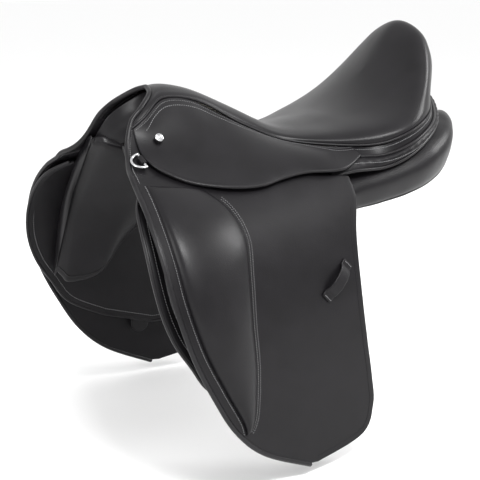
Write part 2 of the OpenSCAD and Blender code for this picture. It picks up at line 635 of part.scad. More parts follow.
// Extrudes a (y, z) outline along X, centred on x
module across_x(x, w) translate([x - w / 2, 0, 0]) rotate([90, 0, 90]) linear_extrude(w) children();
strap_hinge_z = 20;
strap_end_z = strap_hinge_z - girth_strap_len;
module girth_strap(i) color(leather) {
  x = strap_x[i];
  bend = [for (k = [0 : strap_bend_rows])
    let (z = strap_top_z[i] + (strap_bend_z - strap_top_z[i]) * k / strap_bend_rows)
    [strap_y(x, z), z]];
  flat_y = strap_y(x, strap_bend_z - 1);
  line = concat(bend, [[flat_y, strap_bend_z - strap_step_z], [flat_y, strap_end_z]]);
  difference() {
    across_x(x, girth_strap_w) polygon(strip(line, strap_t));
    for (k = [0 : hole_count - 1]) translate([x, flat_y, strap_end_z + hole_end + k * hole_pitch])
      rotate([90, 0, 0]) cylinder(d = strap_hole_d, h = 4 * strap_t, center = true);
  }
}
web_lines = [[[40, 101], [66, 74], [90, 53], [110, 47.5], [129.5, 42.3], [141, 36.2]],
  [[50, 68.5], [84, 64.5], [108, 58.5], [124, 49], [136, 39.5], [146.5, 28.5]]];
girth_web_t = 2.4;
module girth_web() color("wheat") for (i = [0, 1])
  across_x(strap_x[i], girth_strap_w) polygon(strip(web_lines[i], girth_web_t));

// ---- nodes -----------------------------------------------------------------------------------------

module right() mirror([0, 1, 0]) children();
tree();
head_plate();
gullet_plate();
tree_rivets();
spring();  // spring_left
right() spring();  // spring_right
seat_webs();
seat_foam();
seat_cover();
pommel_piping();
arch_lining();
cantle_band();
girth_strap(0);  // girth_strap_front_left
right() girth_strap(0);  // girth_strap_front_right
girth_strap(1);  // girth_strap_rear_left
right() girth_strap(1);  // girth_strap_rear_right
skirt_stud();  // skirt_stud_left
right() skirt_stud();  // skirt_stud_right
stirrup_bar();  // stirrup_bar_left
right() stirrup_bar();  // stirrup_bar_right
bar_catch();  // bar_catch_left
right() bar_catch();  // bar_catch_right
dee_chape();  // dee_chape_left
right() dee_chape();  // dee_chape_right
dee();  // dee_left
right() dee();  // dee_right
panel();  // panel_left
right() panel();  // panel_right
sweat_flap();  // sweat_flap_left
right() sweat_flap();  // sweat_flap_right
knee_block();  // knee_block_left
right() knee_block();  // knee_block_right
girth_web();  // girth_web_left
right() girth_web();  // girth_web_right
flap_top();  // flap_top_left
right() flap_top();  // flap_top_right
flap();  // flap_left
right() flap();  // flap_right
thigh_pad();  // thigh_pad_left
right() thigh_pad();  // thigh_pad_right
leather_keeper();  // leather_keeper_left
right() leather_keeper();  // leather_keeper_right
flap_piping();  // flap_piping_left
right() flap_piping();  // flap_piping_right
skirt_top();  // skirt_top_left
right() skirt_top();  // skirt_top_right
skirt();  // skirt_left
right() skirt();  // skirt_right
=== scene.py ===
"""Looks of a black leather dressage saddle, built round its CAD frame. Lengths in mm until mesh()."""
import math

import bpy
import bmesh
import numpy as np
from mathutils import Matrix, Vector, noise


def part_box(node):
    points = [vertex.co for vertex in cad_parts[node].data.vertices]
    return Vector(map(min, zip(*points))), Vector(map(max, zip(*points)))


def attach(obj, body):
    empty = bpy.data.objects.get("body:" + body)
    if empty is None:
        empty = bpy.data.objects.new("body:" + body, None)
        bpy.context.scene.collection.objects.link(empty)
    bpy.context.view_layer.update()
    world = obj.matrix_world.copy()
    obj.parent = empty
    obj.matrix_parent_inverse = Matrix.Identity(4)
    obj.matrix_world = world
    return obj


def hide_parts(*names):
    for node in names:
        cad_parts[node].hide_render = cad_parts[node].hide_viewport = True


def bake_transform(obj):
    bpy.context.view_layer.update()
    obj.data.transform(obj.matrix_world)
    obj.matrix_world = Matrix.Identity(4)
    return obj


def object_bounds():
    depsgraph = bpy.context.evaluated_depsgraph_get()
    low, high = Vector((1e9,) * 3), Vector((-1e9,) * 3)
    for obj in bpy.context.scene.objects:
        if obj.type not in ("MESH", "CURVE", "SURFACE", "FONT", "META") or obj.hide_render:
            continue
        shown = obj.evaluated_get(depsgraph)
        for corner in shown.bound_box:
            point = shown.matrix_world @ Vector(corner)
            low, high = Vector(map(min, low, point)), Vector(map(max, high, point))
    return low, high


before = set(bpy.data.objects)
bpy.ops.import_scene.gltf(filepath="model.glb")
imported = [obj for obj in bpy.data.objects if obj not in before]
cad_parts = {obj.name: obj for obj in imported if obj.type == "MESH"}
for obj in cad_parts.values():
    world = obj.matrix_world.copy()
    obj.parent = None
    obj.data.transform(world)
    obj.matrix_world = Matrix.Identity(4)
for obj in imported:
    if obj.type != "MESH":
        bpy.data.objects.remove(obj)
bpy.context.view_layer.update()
MM = 0.001
SAME_PLACE = 2e-6        # metres; points nearer than this are one
SIDES = ("left", "right")

# ---- camera ----

TARGET = np.array([74.8, 0.0, -53.2])
AZIMUTH, ELEVATION, DISTANCE = math.radians(31.0), math.radians(13.9), 1538.4
SENSOR_WIDTH, FOCAL_LENGTH = 36.0, 85.64
towards = np.array([math.sin(AZIMUTH) * math.cos(ELEVATION), math.cos(AZIMUTH) * math.cos(ELEVATION),
                    math.sin(ELEVATION)])
camera_data = bpy.data.cameras.new("camera")
camera_data.sensor_width = SENSOR_WIDTH
camera_data.lens = FOCAL_LENGTH
camera = bpy.data.objects.new("camera", camera_data)
bpy.context.scene.collection.objects.link(camera)
camera.location = Vector((TARGET + towards * DISTANCE) * MM)
camera.rotation_euler = Vector(-towards).to_track_quat("-Z", "Y").to_euler()
bpy.context.scene.camera = camera


# ---- curves, grids and meshes ----

def spline(a, b, c, d, f):
    """Catmull-Rom spline at f (0 to 1) between b and c."""
    square, cube = 2 * a - 5 * b + 4 * c - d, 3 * b - a - 3 * c + d
    return 0.5 * (2 * b + (c - a) * f + square * f ** 2 + cube * f ** 3)


def curve(points, t):
    """Points at t (0 to 1) on a smooth curve through a list of points."""
    p = np.asarray(points, float)
    n = len(p) - 1
    s = np.clip(np.asarray(t, float) * n, 0, n - 1e-9)
    i = np.floor(s).astype(int)
    f = (s - i)[..., None]
    a, b, c, d = p[np.maximum(i - 1, 0)], p[i], p[i + 1], p[np.minimum(i + 2, n)]
    return spline(a, b, c, d, f)


def unit(v):
    """Vectors of length one."""
    v = np.asarray(v, float)
    return v / np.maximum(np.linalg.norm(v, axis=-1, keepdims=True), 1e-9)


def resample(path, step):
    """The same line with points about step apart."""
    p = np.asarray(path, float)
    s = np.r_[0, np.cumsum(np.linalg.norm(np.diff(p, axis=0), axis=1))]
    n = max(int(round(s[-1] / step)), 2)
    return np.stack([np.interp(np.linspace(0, s[-1], n + 1), s, p[:, k]) for k in range(3)], 1)


def mirrored(p):
    """Points of the left side on the right."""
    return np.asarray(p, float) * (1, -1, 1)


def both(path):
    """A line that starts or ends on the mid-plane, carried on to the other side."""
    p = np.asarray(path, float)
    if abs(p[0, 1]) < 1e-6:
        return np.r_[mirrored(p[::-1]), p[1:]]
    return np.r_[p, mirrored(p[::-1])[1:]]


def grid_normals(g, centre):
    """Normals of a grid of points, away from a centre."""
    n = unit(np.cross(np.gradient(g, axis=0), np.gradient(g, axis=1)))
    return n if np.sum(n * (g - centre)) > 0 else -n


def grid_faces(rows, cols, start=0, closed=False):
    """Four-sided faces of a grid of points, which may close on itself across its columns."""
    faces = []
    last = cols if closed else cols - 1
    for i in range(rows - 1):
        for j in range(last):
            k = (j + 1) % cols
            faces.append((start + i * cols + j, start + i * cols + k, start + (i + 1) * cols + k,
                          start + (i + 1) * cols + j))
    return faces


def mesh(name, points, faces, material, facing=None):
    """Smooth mesh object; facing is the way an open surface's faces look on the whole."""
    data = bpy.data.meshes.new(name)
    data.from_pydata((np.asarray(points) * MM).tolist(), [], [tuple(int(i) for i in f) for f in faces])
    bm = bmesh.new()
    bm.from_mesh(data)
    bmesh.ops.remove_doubles(bm, verts=bm.verts, dist=SAME_PLACE)
    if not facing:
        bmesh.ops.recalc_face_normals(bm, faces=bm.faces)
    elif sum((f.normal * f.calc_area() for f in bm.faces), Vector()).dot(Vector(facing)) < 0:
        bmesh.ops.reverse_faces(bm, faces=bm.faces)
    bm.to_mesh(data)
    bm.free()
    for polygon in data.polygons:
        polygon.use_smooth = True
    o = bpy.data.objects.new(name, data)
    bpy.context.scene.collection.objects.link(o)
    data.materials.append(material)
    return o


def other_side(o, name):
    """Mirror image of a piece of the left side."""
    data = o.data.copy()
    data.name = name
    bm = bmesh.new()
    bm.from_mesh(data)
    for v in bm.verts:
        v.co.y = -v.co.y
    bmesh.ops.reverse_faces(bm, faces=bm.faces)
    bm.to_mesh(data)
    bm.free()
    twin = bpy.data.objects.new(name, data)
    bpy.context.scene.collection.objects.link(twin)
    return twin


def pair(o):
    """The left piece, renamed, and its mirror image."""
    base = o.name
    o.name = base + "_left"
    return (o, "left"), (other_side(o, base + "_right"), "right")


def shell(name, grid, thick, centre, material, rim=6):
    """Sheet of leather with rounded edges; grid is its outer face."""
    g = np.asarray(grid, float)
    rows, cols = g.shape[:2]
    n = grid_normals(g, np.asarray(centre, float))
    index = np.arange(rows * cols).reshape(rows, cols)
    loop = np.r_[index[0, :-1], index[:-1, -1], index[-1, :0:-1], index[:0:-1, 0]]
    inside = np.r_[index[1, :-1], index[:-1, -2], index[-2, :0:-1], index[:0:-1, 1]]
    p, q = g.reshape(-1, 3), n.reshape(-1, 3)
    edge, edge_n = p[loop], q[loop]
    along = unit(np.roll(edge, -1, 0) - np.roll(edge, 1, 0))
    out = unit(np.cross(along, edge_n))
    out = np.where(np.sum(out * (edge - p[inside]), 1, keepdims=True) < 0, -out, out)
    mid = edge - edge_n * thick / 2
    rings = [mid + thick / 2 * (edge_n * math.cos(a) + out * math.sin(a))
             for a in np.linspace(0, math.pi, rim + 1)[1:-1]]
    size, count = rows * cols, len(loop)
    points = np.concatenate([p, p - thick * q] + rings)
    faces = grid_faces(rows, cols) + [tuple(reversed(f)) for f in grid_faces(rows, cols, size)]
    order = [loop] + [2 * size + k * count + np.arange(count) for k in range(rim - 1)] + [size + loop]
    for a, b in zip(order[:-1], order[1:]):
        faces += [(a[j], a[(j + 1) % count], b[(j + 1) % count], b[j]) for j in range(count)]
    return mesh(name, points, faces, material)


def frames(path):
    """Unit directions along and across a line, without twist."""
    t = unit(np.gradient(path, axis=0))
    side = np.cross(t[0], (0, 0, 1.0))
    if np.linalg.norm(side) < 0.1:
        side = np.cross(t[0], (0, 1.0, 0))
    sides = []
    for d in t:
        side = unit(side - np.dot(side, d) * d)
        sides.append(side)
    sides = np.array(sides)
    return t, sides, np.cross(t, sides)


def tube(name, path, radius, material, step=3.0, around=12):
    """Round roll along a line, with rounded ends."""
    p = resample(path, step)
    t, a, b = frames(p)
    behind, size = np.array([(-1.0, 0.05), (-0.8, 0.6), (-0.4, 0.9)]).T
    p = np.r_[p[0] + t[0] * radius * behind[:, None], p, p[-1] - t[-1] * radius * behind[::-1, None]]
    r = radius * np.r_[size, np.ones(len(p) - 6), size[::-1]]
    a, b = (np.r_[[v[0]] * 3, v, [v[-1]] * 3] for v in (a, b))
    w = np.linspace(0, 2 * math.pi, around, endpoint=False)
    ring = a[:, None] * np.cos(w)[None, :, None] + b[:, None] * np.sin(w)[None, :, None]
    points = (p[:, None] + r[:, None, None] * ring).reshape(-1, 3)
    faces = grid_faces(len(p), around, 0, True)
    faces.append(tuple(range(around)))
    faces.append(tuple((len(p) - 1) * around + j for j in reversed(range(around))))
    return mesh(name, points, faces, material)


STITCH_SINK = 0.1
STITCH_PROFILE = ((-0.42, 0.7), (-0.15, 1.0), (0.15, 1.0), (0.42, 0.7))     # place along it, thickness
STITCH_SIDES = 6


def stitches(name, path, normal, material, pitch=3.0, length=2.1, radius=0.42, slant=0.12):
    """Row of thread stitches that lie along a line on a surface; normal is one per point or one for all."""
    p = np.asarray(path, float)
    n = np.broadcast_to(np.asarray(normal, float), p.shape)
    s = np.r_[0, np.cumsum(np.linalg.norm(np.diff(p, axis=0), axis=1))]
    at = np.arange(pitch / 2, s[-1], pitch)

    def sampled(values, shift=0.0):
        return np.stack([np.interp(at + shift, s, values[:, k]) for k in range(3)], 1)

    up = unit(sampled(n))
    along = unit(sampled(p, 0.5) - sampled(p, -0.5))
    along = unit(along + slant * unit(np.cross(up, along)))
    across = unit(np.cross(up, along))
    centre = sampled(p) + up * (radius * 0.35 - STITCH_SINK)
    rings, sides = len(STITCH_PROFILE), STITCH_SIDES
    points, faces = [], []
    for k in range(len(centre)):
        base = k * (rings * sides + 2)
        points.append(centre[k] - along[k] * length * 0.5 - up[k] * radius * 0.5)
        for u, w in STITCH_PROFILE:
            for j in range(sides):
                a = 2 * math.pi * j / sides
                points.append(centre[k] + along[k] * length * u
                              + radius * w * (across[k] * math.cos(a) + up[k] * math.sin(a) * 0.8))
        points.append(centre[k] + along[k] * length * 0.5 - up[k] * radius * 0.5)
        for j in range(sides):
            m = (j + 1) % sides
            faces.append((base, base + 1 + m, base + 1 + j))
            for r in range(rings - 1):
                faces.append((base + 1 + r * sides + j, base + 1 + r * sides + m,
                              base + 1 + (r + 1) * sides + m, base + 1 + (r + 1) * sides + j))
            faces.append((base + 1 + (rings - 1) * sides + j, base + 1 + (rings - 1) * sides + m,
                          base + 1 + rings * sides))
    return mesh(name, points, faces, material)


def relax(points, faces, fixed, rounds=10, weight=None):
    """Evens out a mesh without shrinking it; fixed points stay. With a weight it only flattens."""
    p = np.array(points, float)
    edges = {tuple(sorted((f[k], f[(k + 1) % len(f)]))) for f in faces for k in range(len(f))}
    edges = np.array(sorted(edges))
    degree = np.maximum(np.bincount(edges.ravel(), minlength=len(p))[:, None].astype(float), 1)
    free = (~fixed)[:, None]
    share = 1.0 if weight is None else weight[:, None]
    steps = (0.5, -0.52) if weight is None else (0.6,)
    for factor in steps * rounds:
        total = np.zeros_like(p)
        np.add.at(total, edges[:, 0], p[edges[:, 1]])
        np.add.at(total, edges[:, 1], p[edges[:, 0]])
        p = np.where(free, p + factor * share * (total / degree - p), p)
    return p


def ripple(points, size, height, seed=0.0):
    """Smooth noise of about height mm, features size mm across, for each point."""
    shift = (seed, -seed, 0)
    return np.array([noise.noise(Vector(p / size + shift)) for p in points]) * height


def finish(nodes=()):
    """Hides the CAD nodes that a piece stands for."""
    if nodes:
        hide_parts(*nodes)


def tag(o, body, slot, *nodes, fill=None):
    """Rides a piece on its body and hides the CAD nodes it stands for."""
    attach(o, body)
    finish(nodes)


def tag_pair(o, body, slot, *nodes, fill=None):
    """The same for a left piece and its mirror image; {} in a name is the side."""
    for piece, side in pair(o):
        tag(piece, body.format(side), slot, *(n.format(side) for n in nodes), fill=fill)


def bend_pair(o, flap, ends, slot, *nodes):
    """Hides the CAD nodes of a left piece and its mirror image, which lie over a flap's or skirt's fold, and
    bakes their placement into the meshes.
    """
    for piece, side in pair(o):
        finish([n.format(side) for n in nodes])
        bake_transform(piece)


# ---- materials ----

class Surface:
    """Material in the making: adds nodes and joins them to its shader."""

    def __init__(self, name):
        self.material = bpy.data.materials.new(name)
        self.material.use_nodes = True
        self.nodes, self.link = self.material.node_tree.nodes, self.material.node_tree.links.new
        self.shader = self.nodes["Principled BSDF"]
        self.place = self.add("TexCoord").outputs["Object"]

    def add(self, kind, **values):
        """New node with its inputs set."""
        node = self.nodes.new("ShaderNode" + kind)
        for key, value in values.items():
            node.inputs[key.replace("_", " ")].default_value = value
        return node

    def set(self, **values):
        """Inputs of the shader that are the same all over."""
        for key, value in values.items():
            self.shader.inputs[key.replace("_", " ")].default_value = value

    def pattern(self, kind, stretch=None, **values):
        """Texture in the object's own coordinates, which may be stretched first."""
        node, source = self.add(kind, **values), self.place
        if stretch:
            mapping = self.add("Mapping", Scale=stretch)
            self.link(source, mapping.inputs["Vector"])
            source = mapping.outputs["Vector"]
        self.link(source, node.inputs["Vector"])
        return node

    def combine(self, operation, a, b):
        """Two outputs, or an output and a number, joined by a sum or product."""
        node = self.add("Math")
        node.operation = operation
        self.link(a, node.inputs[0])
        if isinstance(b, float):
            node.inputs[1].default_value = b
        else:
            self.link(b, node.inputs[1])
        return node.outputs[0]

    def colour(self, value, dark, light, ends=(0.0, 1.0)):
        """Base colour that runs from dark to light with a value."""
        ramp = self.add("ValToRGB")
        for k, shade in enumerate((dark, light)):
            ramp.color_ramp.elements[k].position = ends[k]
            ramp.color_ramp.elements[k].color = (*shade, 1)
        self.link(value, ramp.inputs["Fac"])
        self.link(ramp.outputs["Color"], self.shader.inputs["Base Color"])

    def gloss(self, value, smooth, rough, **span):
        """Roughness that runs from smooth to rough with a value."""
        spread = self.add("MapRange", To_Min=smooth, To_Max=rough, **span)
        self.link(value, spread.inputs["Value"])
        self.link(spread.outputs["Result"], self.shader.inputs["Roughness"])

    def bump(self, height, strength, distance):
        """Fine relief; distance in metres."""
        node = self.add("Bump", Strength=strength, Distance=distance)
        self.link(height, node.inputs["Height"])
        self.link(node.outputs["Normal"], self.shader.inputs["Normal"])


def leather(name, colour, rough, grain, depth, coat=0.05, shine=0.15):
    """Dyed, waxed leather: pebbles about grain mm across, pores, uneven polish."""
    m = Surface(name)
    m.set(Specular_IOR_Level=shine, Coat_Weight=coat, Coat_Roughness=0.22)
    pebbles = m.pattern("TexVoronoi", Scale=1000.0 / grain)
    pebbles.feature = "SMOOTH_F1"
    pebbles.inputs["Smoothness"].default_value = 0.35
    folds = m.pattern("TexNoise", Scale=420.0 / grain, Detail=3.0).outputs["Fac"]
    pores = m.pattern("TexNoise", Scale=2600.0 / grain, Detail=2.0).outputs["Fac"]
    polish = m.pattern("TexNoise", Scale=22.0, Detail=5.0, Roughness=0.6).outputs["Fac"]
    height = m.combine("ADD", pebbles.outputs["Distance"], m.combine("MULTIPLY", pores, 0.45))
    m.bump(m.combine("ADD", height, folds), depth, 0.00035)
    m.colour(polish, [c * 0.8 for c in colour], [c * 1.3 for c in colour], (0.3, 0.72))
    m.gloss(polish, rough - 0.0175, rough + 0.042, From_Min=0.3, From_Max=0.75)
    return m.material


def metal(name, colour, rough, marks):
    """Steel with fine rubbing marks and a slightly uneven polish."""
    m = Surface(name)
    m.set(Metallic=1.0)
    scratches = m.pattern("TexNoise", (1.0, 6.0, 6.0), Scale=260.0, Detail=6.0).outputs["Fac"]
    m.colour(scratches, [c * 0.8 for c in colour], colour)
    m.gloss(scratches, rough, rough + marks)
    m.bump(scratches, 0.15, 0.0001)
    return m.material


def woven(name, colour, pitch, depth=0.7, rough=0.85):
    """Cloth or webbing: crossed waves of threads pitch mm apart."""
    m = Surface(name)
    m.set(Sheen_Weight=0.3, Roughness=rough)
    waves = []
    for direction in "XZY":
        wave = m.pattern("TexWave", Scale=314.0 / pitch, Distortion=0.6, Detail=1.0)
        wave.bands_direction = direction
        waves.append(wave.outputs["Fac"])
    threads = m.combine("MAXIMUM", m.combine("MULTIPLY", waves[0], waves[1]), waves[2])
    m.colour(threads, [c * 0.55 for c in colour], colour)
    m.bump(threads, depth, 0.0004)
    return m.material


def plywood(name):
    """Laminated beech: plies one above the other, with long fibres."""
    m = Surface(name)
    m.set(Roughness=0.45, Coat_Weight=0.3)
    plies = m.pattern("TexWave", Scale=160.0, Distortion=2.5)
    plies.bands_direction = "Z"
    fibres = m.pattern("TexNoise", (0.6, 5.0, 5.0), Scale=90.0, Detail=8.0).outputs["Fac"]
    m.colour(m.combine("MULTIPLY", plies.outputs["Fac"], fibres), (0.30, 0.17, 0.08), (0.62, 0.43, 0.24))
    m.bump(fibres, 0.2, 0.0003)
    return m.material


BLACK = (0.0058, 0.0053, 0.0062)
seat_leather = leather("seat_leather", BLACK, 0.35, 0.9, 0.2, shine=0.18)
flap_leather = leather("flap_leather", BLACK, 0.40, 1.0, 0.26, shine=0.13)
pad_leather = leather("pad_leather", BLACK, 0.36, 0.9, 0.22)
panel_leather = leather("panel_leather", BLACK, 0.36, 1.1, 0.32, shine=0.16)
piping_leather = leather("piping_leather", BLACK, 0.36, 0.8, 0.25, shine=0.2)
sweat_leather = leather("sweat_leather", BLACK, 0.44, 1.2, 0.35)
strap_leather = leather("strap_leather", BLACK, 0.42, 1.3, 0.4)
thread = woven("thread", (0.17, 0.17, 0.175), 0.5, 0.5, 0.7)
crease = leather("crease", (0.006, 0.005, 0.006), 0.6, 0.9, 0.2, coat=0.0)
block_fabric = woven("block_fabric", (0.028, 0.027, 0.031), 0.9)
webbing = woven("webbing", (0.48, 0.43, 0.33), 1.6)
foam_cloth = woven("foam_cloth", (0.55, 0.52, 0.45), 1.2, 0.4)
bright = metal("bright_steel", (0.60, 0.60, 0.61), 0.16, 0.14)
forged = metal("forged_steel", (0.46, 0.46, 0.47), 0.34, 0.2)
blued = metal("spring_steel", (0.22, 0.24, 0.30), 0.3, 0.2)
beech = plywood("laminated_beech")


# ---- side surface ----

SLOPE = 0.125            # rise of the fold line for each mm forward
FRONT_X = 280.0          # where the front curve holds; the rear one holds at 0
FRONT_CURVE = (83, 155, 42.4, 60)      # distance at the top, gain below, height of the top, fall of the bend
REAR_CURVE = (120, 88, 78, 70)


def side_y(x, z):
    """Distance of the flap's outer face from the mid-plane."""
    x, z = np.asarray(x, float), np.asarray(z, float)
    height = z - SLOPE * x
    front, rear = (near + gain * (1 - np.exp((height - top) / fall))
                   for near, gain, top, fall in (FRONT_CURVE, REAR_CURVE))
    return rear + (front - rear) * x / FRONT_X


def on_side(p, off=0.0):
    """(x, z) points put on the side surface, moved outwards in y by off."""
    p = np.asarray(p, float)
    return np.stack([p[..., 0], side_y(p[..., 0], p[..., 1]) + off, p[..., 1]], -1)


def side_normal(p):
    """Outward normal of the side surface at (x, z) points."""
    p = np.asarray(p, float)
    e = 0.5
    dx = (side_y(p[..., 0] + e, p[..., 1]) - side_y(p[..., 0] - e, p[..., 1])) / (2 * e)
    dz = (side_y(p[..., 0], p[..., 1] + e) - side_y(p[..., 0], p[..., 1] - e)) / (2 * e)
    return unit(np.stack([-dx, np.ones_like(dx), -dz], -1))


def off_side(p, off):
    """(x, z) points at a distance off along the side surface's normal."""
    return on_side(p) + np.asarray(off)[..., None] * side_normal(p)


def fold_at(x):
    """Height of the line that the flap folds on."""
    return 27.5 + SLOPE * x


def beside(line, distance):
    """The (x, z) line, moved at right angles to itself in its own plane."""
    step = unit(np.gradient(np.asarray(line, float), axis=0))
    return line + np.stack([-step[:, 1], step[:, 0]], 1) * distance


def ladder(front, rear, rows, cols):
    """Grid of straight rungs between two lines."""
    t = np.linspace(0, 1, rows + 1)
    a, b = curve(front, t)[:, None], curve(rear, t)[:, None]
    return a + (b - a) * np.linspace(0, 1, cols + 1)[None, :, None]


# ---- seat ----

SEAT_CORE = [[209, 0, 160.5], [200, 0, 162], [185, 0, 162.5], [150, 0, 154], [98, 0, 131], [40, 0, 105],
             [-5, 0, 105], [-40, 0, 111], [-62, 0, 117], [-76, 0, 122], [-86, 0, 127], [-93, 0, 131],
             [-97, 0, 134]]
SEAT_MID = [[216, 22, 154], [206, 18, 159], [190, 15, 161], [152, 16, 153], [98, 20, 128.5], [42, 32, 102.5],
            [-7, 46, 101], [-45, 50, 109], [-74, 53, 119], [-100, 49, 136], [-119, 38, 156], [-132, 21, 175],
            [-137, 0, 184]]
SEAT_RIM = [[236, 39, 139], [222, 34, 148], [200, 27, 157], [154, 28, 149.5], [98, 34, 122], [45, 52, 97.5],
            [-9, 80, 96], [-50, 99, 103], [-89, 108, 114], [-128, 105, 137], [-160, 84, 175], [-180, 47, 219],
            [-181, 0, 236]]
SEAT_BULGE = [[250, 44, 127], [233, 42, 138], [205, 33, 153.5], [155, 33, 146.5], [98, 41, 116], [46, 60, 94],
              [-12, 97, 89], [-58, 123, 94], [-102, 132, 107], [-144, 114, 128], [-176, 82, 154],
              [-207, 46, 182], [-214, 0, 192]]
SEAT_WELT = [[256, 48.5, 118], [238, 47, 130], [207, 36, 151], [156, 35, 143.5], [98, 43, 112], [46, 63, 90],
             [-14, 99, 83], [-60, 126, 85], [-104, 134, 99], [-147, 115, 114], [-179, 79, 125],
             [-202, 40, 134], [-211, 0, 139]]


def seat_point(s, t):
    """Points of the left half, s from head to cantle and t from the middle to the welt."""
    rows = [curve(k, s) for k in (SEAT_CORE, SEAT_MID, SEAT_RIM, SEAT_BULGE, SEAT_WELT)]
    pts = np.stack([mirrored(rows[1])] + rows, 0)
    w = 1 + 4 * t
    i = np.clip(np.floor(w - 1e-9).astype(int), 1, 4)
    f = (w - i)[:, None]
    k = np.arange(len(s))
    a, b, c, d = pts[i - 1, k], pts[i, k], pts[i + 1, k], pts[np.minimum(i + 2, 5), k]
    return spline(a, b, c, d, f)


def seat_surface(rows, cols):
    """Upper surface of the seat: points, faces, which points are on its edge, and each point's t."""
    s, t = np.meshgrid(np.linspace(0, 1, rows + 1), np.linspace(0, 1, cols + 1), indexing="ij")
    g = seat_point(s.ravel(), t.ravel()).reshape(rows + 1, cols + 1, 3)
    g[-1, :, 1] = 0
    g[:, 0, 1] = 0
    left = g.reshape(-1, 3)
    faces = grid_faces(rows + 1, cols + 1)
    n = len(left)
    points = np.r_[left, mirrored(left)]
    faces += [tuple(n + i for i in reversed(f)) for f in faces]
    key, kept, place = {}, [], []
    remap = np.zeros(len(points), int)
    for i, p in enumerate(points):
        k = tuple(np.round(p, 3))
        if k not in key:
            key[k] = len(kept)
            kept.append(p)
            place.append(t.ravel()[i % n])
        remap[i] = key[k]
    faces = [tuple(dict.fromkeys(remap[list(f)])) for f in faces]
    faces = [f for f in faces if len(f) > 2]
    kept = np.array(kept)
    count = {}
    for f in faces:
        for k in range(len(f)):
            e = tuple(sorted((f[k], f[(k + 1) % len(f)])))
            count[e] = count.get(e, 0) + 1
    fixed = np.zeros(len(kept), bool)
    for e, c in count.items():
        if c == 1:
            fixed[list(e)] = True
    return kept, faces, fixed, np.array(place)


RIM_PUSH, RIM_AT, RIM_SPREAD = 3.5, 0.56, 0.3      # fuller roll round the cantle
FLATTEN_ROUNDS = 150     # smooths the cantle's dish
SEAT_LEATHER_T = 3.0
UNDERSIDE_GAP, UNDERSIDE_T = 4.5, 10.0
UNDERSIDE_FRONT, UNDERSIDE_EDGE = 190, 0.86


def solidified(o, levels, thickness):
    """Subdivides a sheet and gives it a thickness inwards."""
    finer = o.modifiers.new("finer", "SUBSURF")
    finer.levels = finer.render_levels = levels
    thick = o.modifiers.new("thick", "SOLIDIFY")
    thick.thickness = thickness * MM
    thick.offset = -1


points, faces, fixed, place = seat_surface(60, 26)
points = relax(points, faces, fixed, 12)
rim = np.clip(1 - np.abs(place - RIM_AT) / RIM_SPREAD, 0, 1) * np.clip((10 - points[:, 0]) / 60, 0, 1)
outwards = unit(points - (-60, 0, 100))
points = points + outwards * (RIM_PUSH * rim * np.clip((-20 - points[:, 0]) / 100, 0, 1))[:, None]
points = relax(points, faces, fixed, 8, rim ** 0.5)
near = np.clip((62 - np.abs(points[:, 1])) / 40, 0, 1) * np.clip((-52 - points[:, 0]) / 30, 0, 1)
near = near * np.clip((205 - points[:, 2]) / 30, 0, 1)
points = relax(points, faces, fixed, FLATTEN_ROUNDS, near)
seat = mesh("seat", points, faces, seat_leather, facing=(0, 0, 1))
solidified(seat, 2, SEAT_LEATHER_T)
tag(seat, "saddle", "seat_leather", "seat_cover", fill=0.95)

# Cloth over the foam: stops short of the head and of the edge that turns under
foam_faces = [f for f in faces if max(points[i, 0] for i in f) < UNDERSIDE_FRONT
              and max(place[i] for i in f) < UNDERSIDE_EDGE]
under = mesh("seat_underside", points, foam_faces, foam_cloth, facing=(0, 0, 1))
for v, n in zip(under.data.vertices, [v.normal.copy() for v in under.data.vertices]):
    v.co -= n * (UNDERSIDE_GAP * MM)
solidified(under, 1, UNDERSIDE_T)
tag(under, "saddle", "seat_foam", "seat_foam", fill=0.9)

welt_line = curve(SEAT_WELT, np.linspace(0, 1, 160))
out = unit(np.stack([-0.6 * (welt_line[:, 0] < -120), np.ones(160), np.zeros(160)], 1))
welt_path = welt_line + out * 0.6 - (0, 0, 0.6)
welt_path[-1, 1] = 0
seat_welt = tube("seat_welt", both(welt_path), 1.7, piping_leather, 2.5, 10)
tag(seat_welt, "saddle", "piping_leather")

# ---- skirts ----

SKIRT_SEAM = [[254, 51, 116.5], [236, 50, 128], [207, 39, 147.5], [170, 37, 145], [132, 40, 127],
              [97, 47, 109], [64, 58, 94], [36, 72, 85.5], [-4, 98, 80.5], [-27, 107.5, 80.5]]
SKIRT_EDGE = [[253.5, 77.5, 87], [248, 93, 80.5], [236, 109, 71.5], [212, 126.5, 61.5], [170, 140.5, 55],
              [130, 143, 53.5], [95, 138, 58.5], [60, 137, 62], [14, 145, 63], [-25, 128.5, 74]]
SKIRT_T = 3.8
FOLD_FRONT, FOLD_REAR = np.array([256, 61.5, 101.0]), np.array([0, 143, 63.5])
SKIRT_FOLD = [FOLD_REAR + (FOLD_FRONT - FOLD_REAR) * x / 256
              for x in (253, 240, 216, 182, 147, 112, 80, 48, 12)]
SKIRT_FOLD.append(np.array([-26, 118.5, 77.6]))


def skirt_surface(rows, cols):
    """Grid whose cross lines are parabolas through the seam, the fold and the edge."""
    u = np.linspace(0, 1, rows + 1)
    seam, fold, edge = curve(SKIRT_SEAM, u), curve(SKIRT_FOLD, u), curve(SKIRT_EDGE, u)
    a, b = np.linalg.norm(fold - seam, axis=1), np.linalg.norm(edge - fold, axis=1)
    m = (a / (a + b))[:, None, None]
    v = np.linspace(0, 1, cols + 1)[None, :, None]
    p, q, r = seam[:, None], fold[:, None], edge[:, None]
    return p * (v - m) * (v - 1) / m + q * v * (v - 1) / (m * (m - 1)) + r * v * (v - m) / (1 - m)


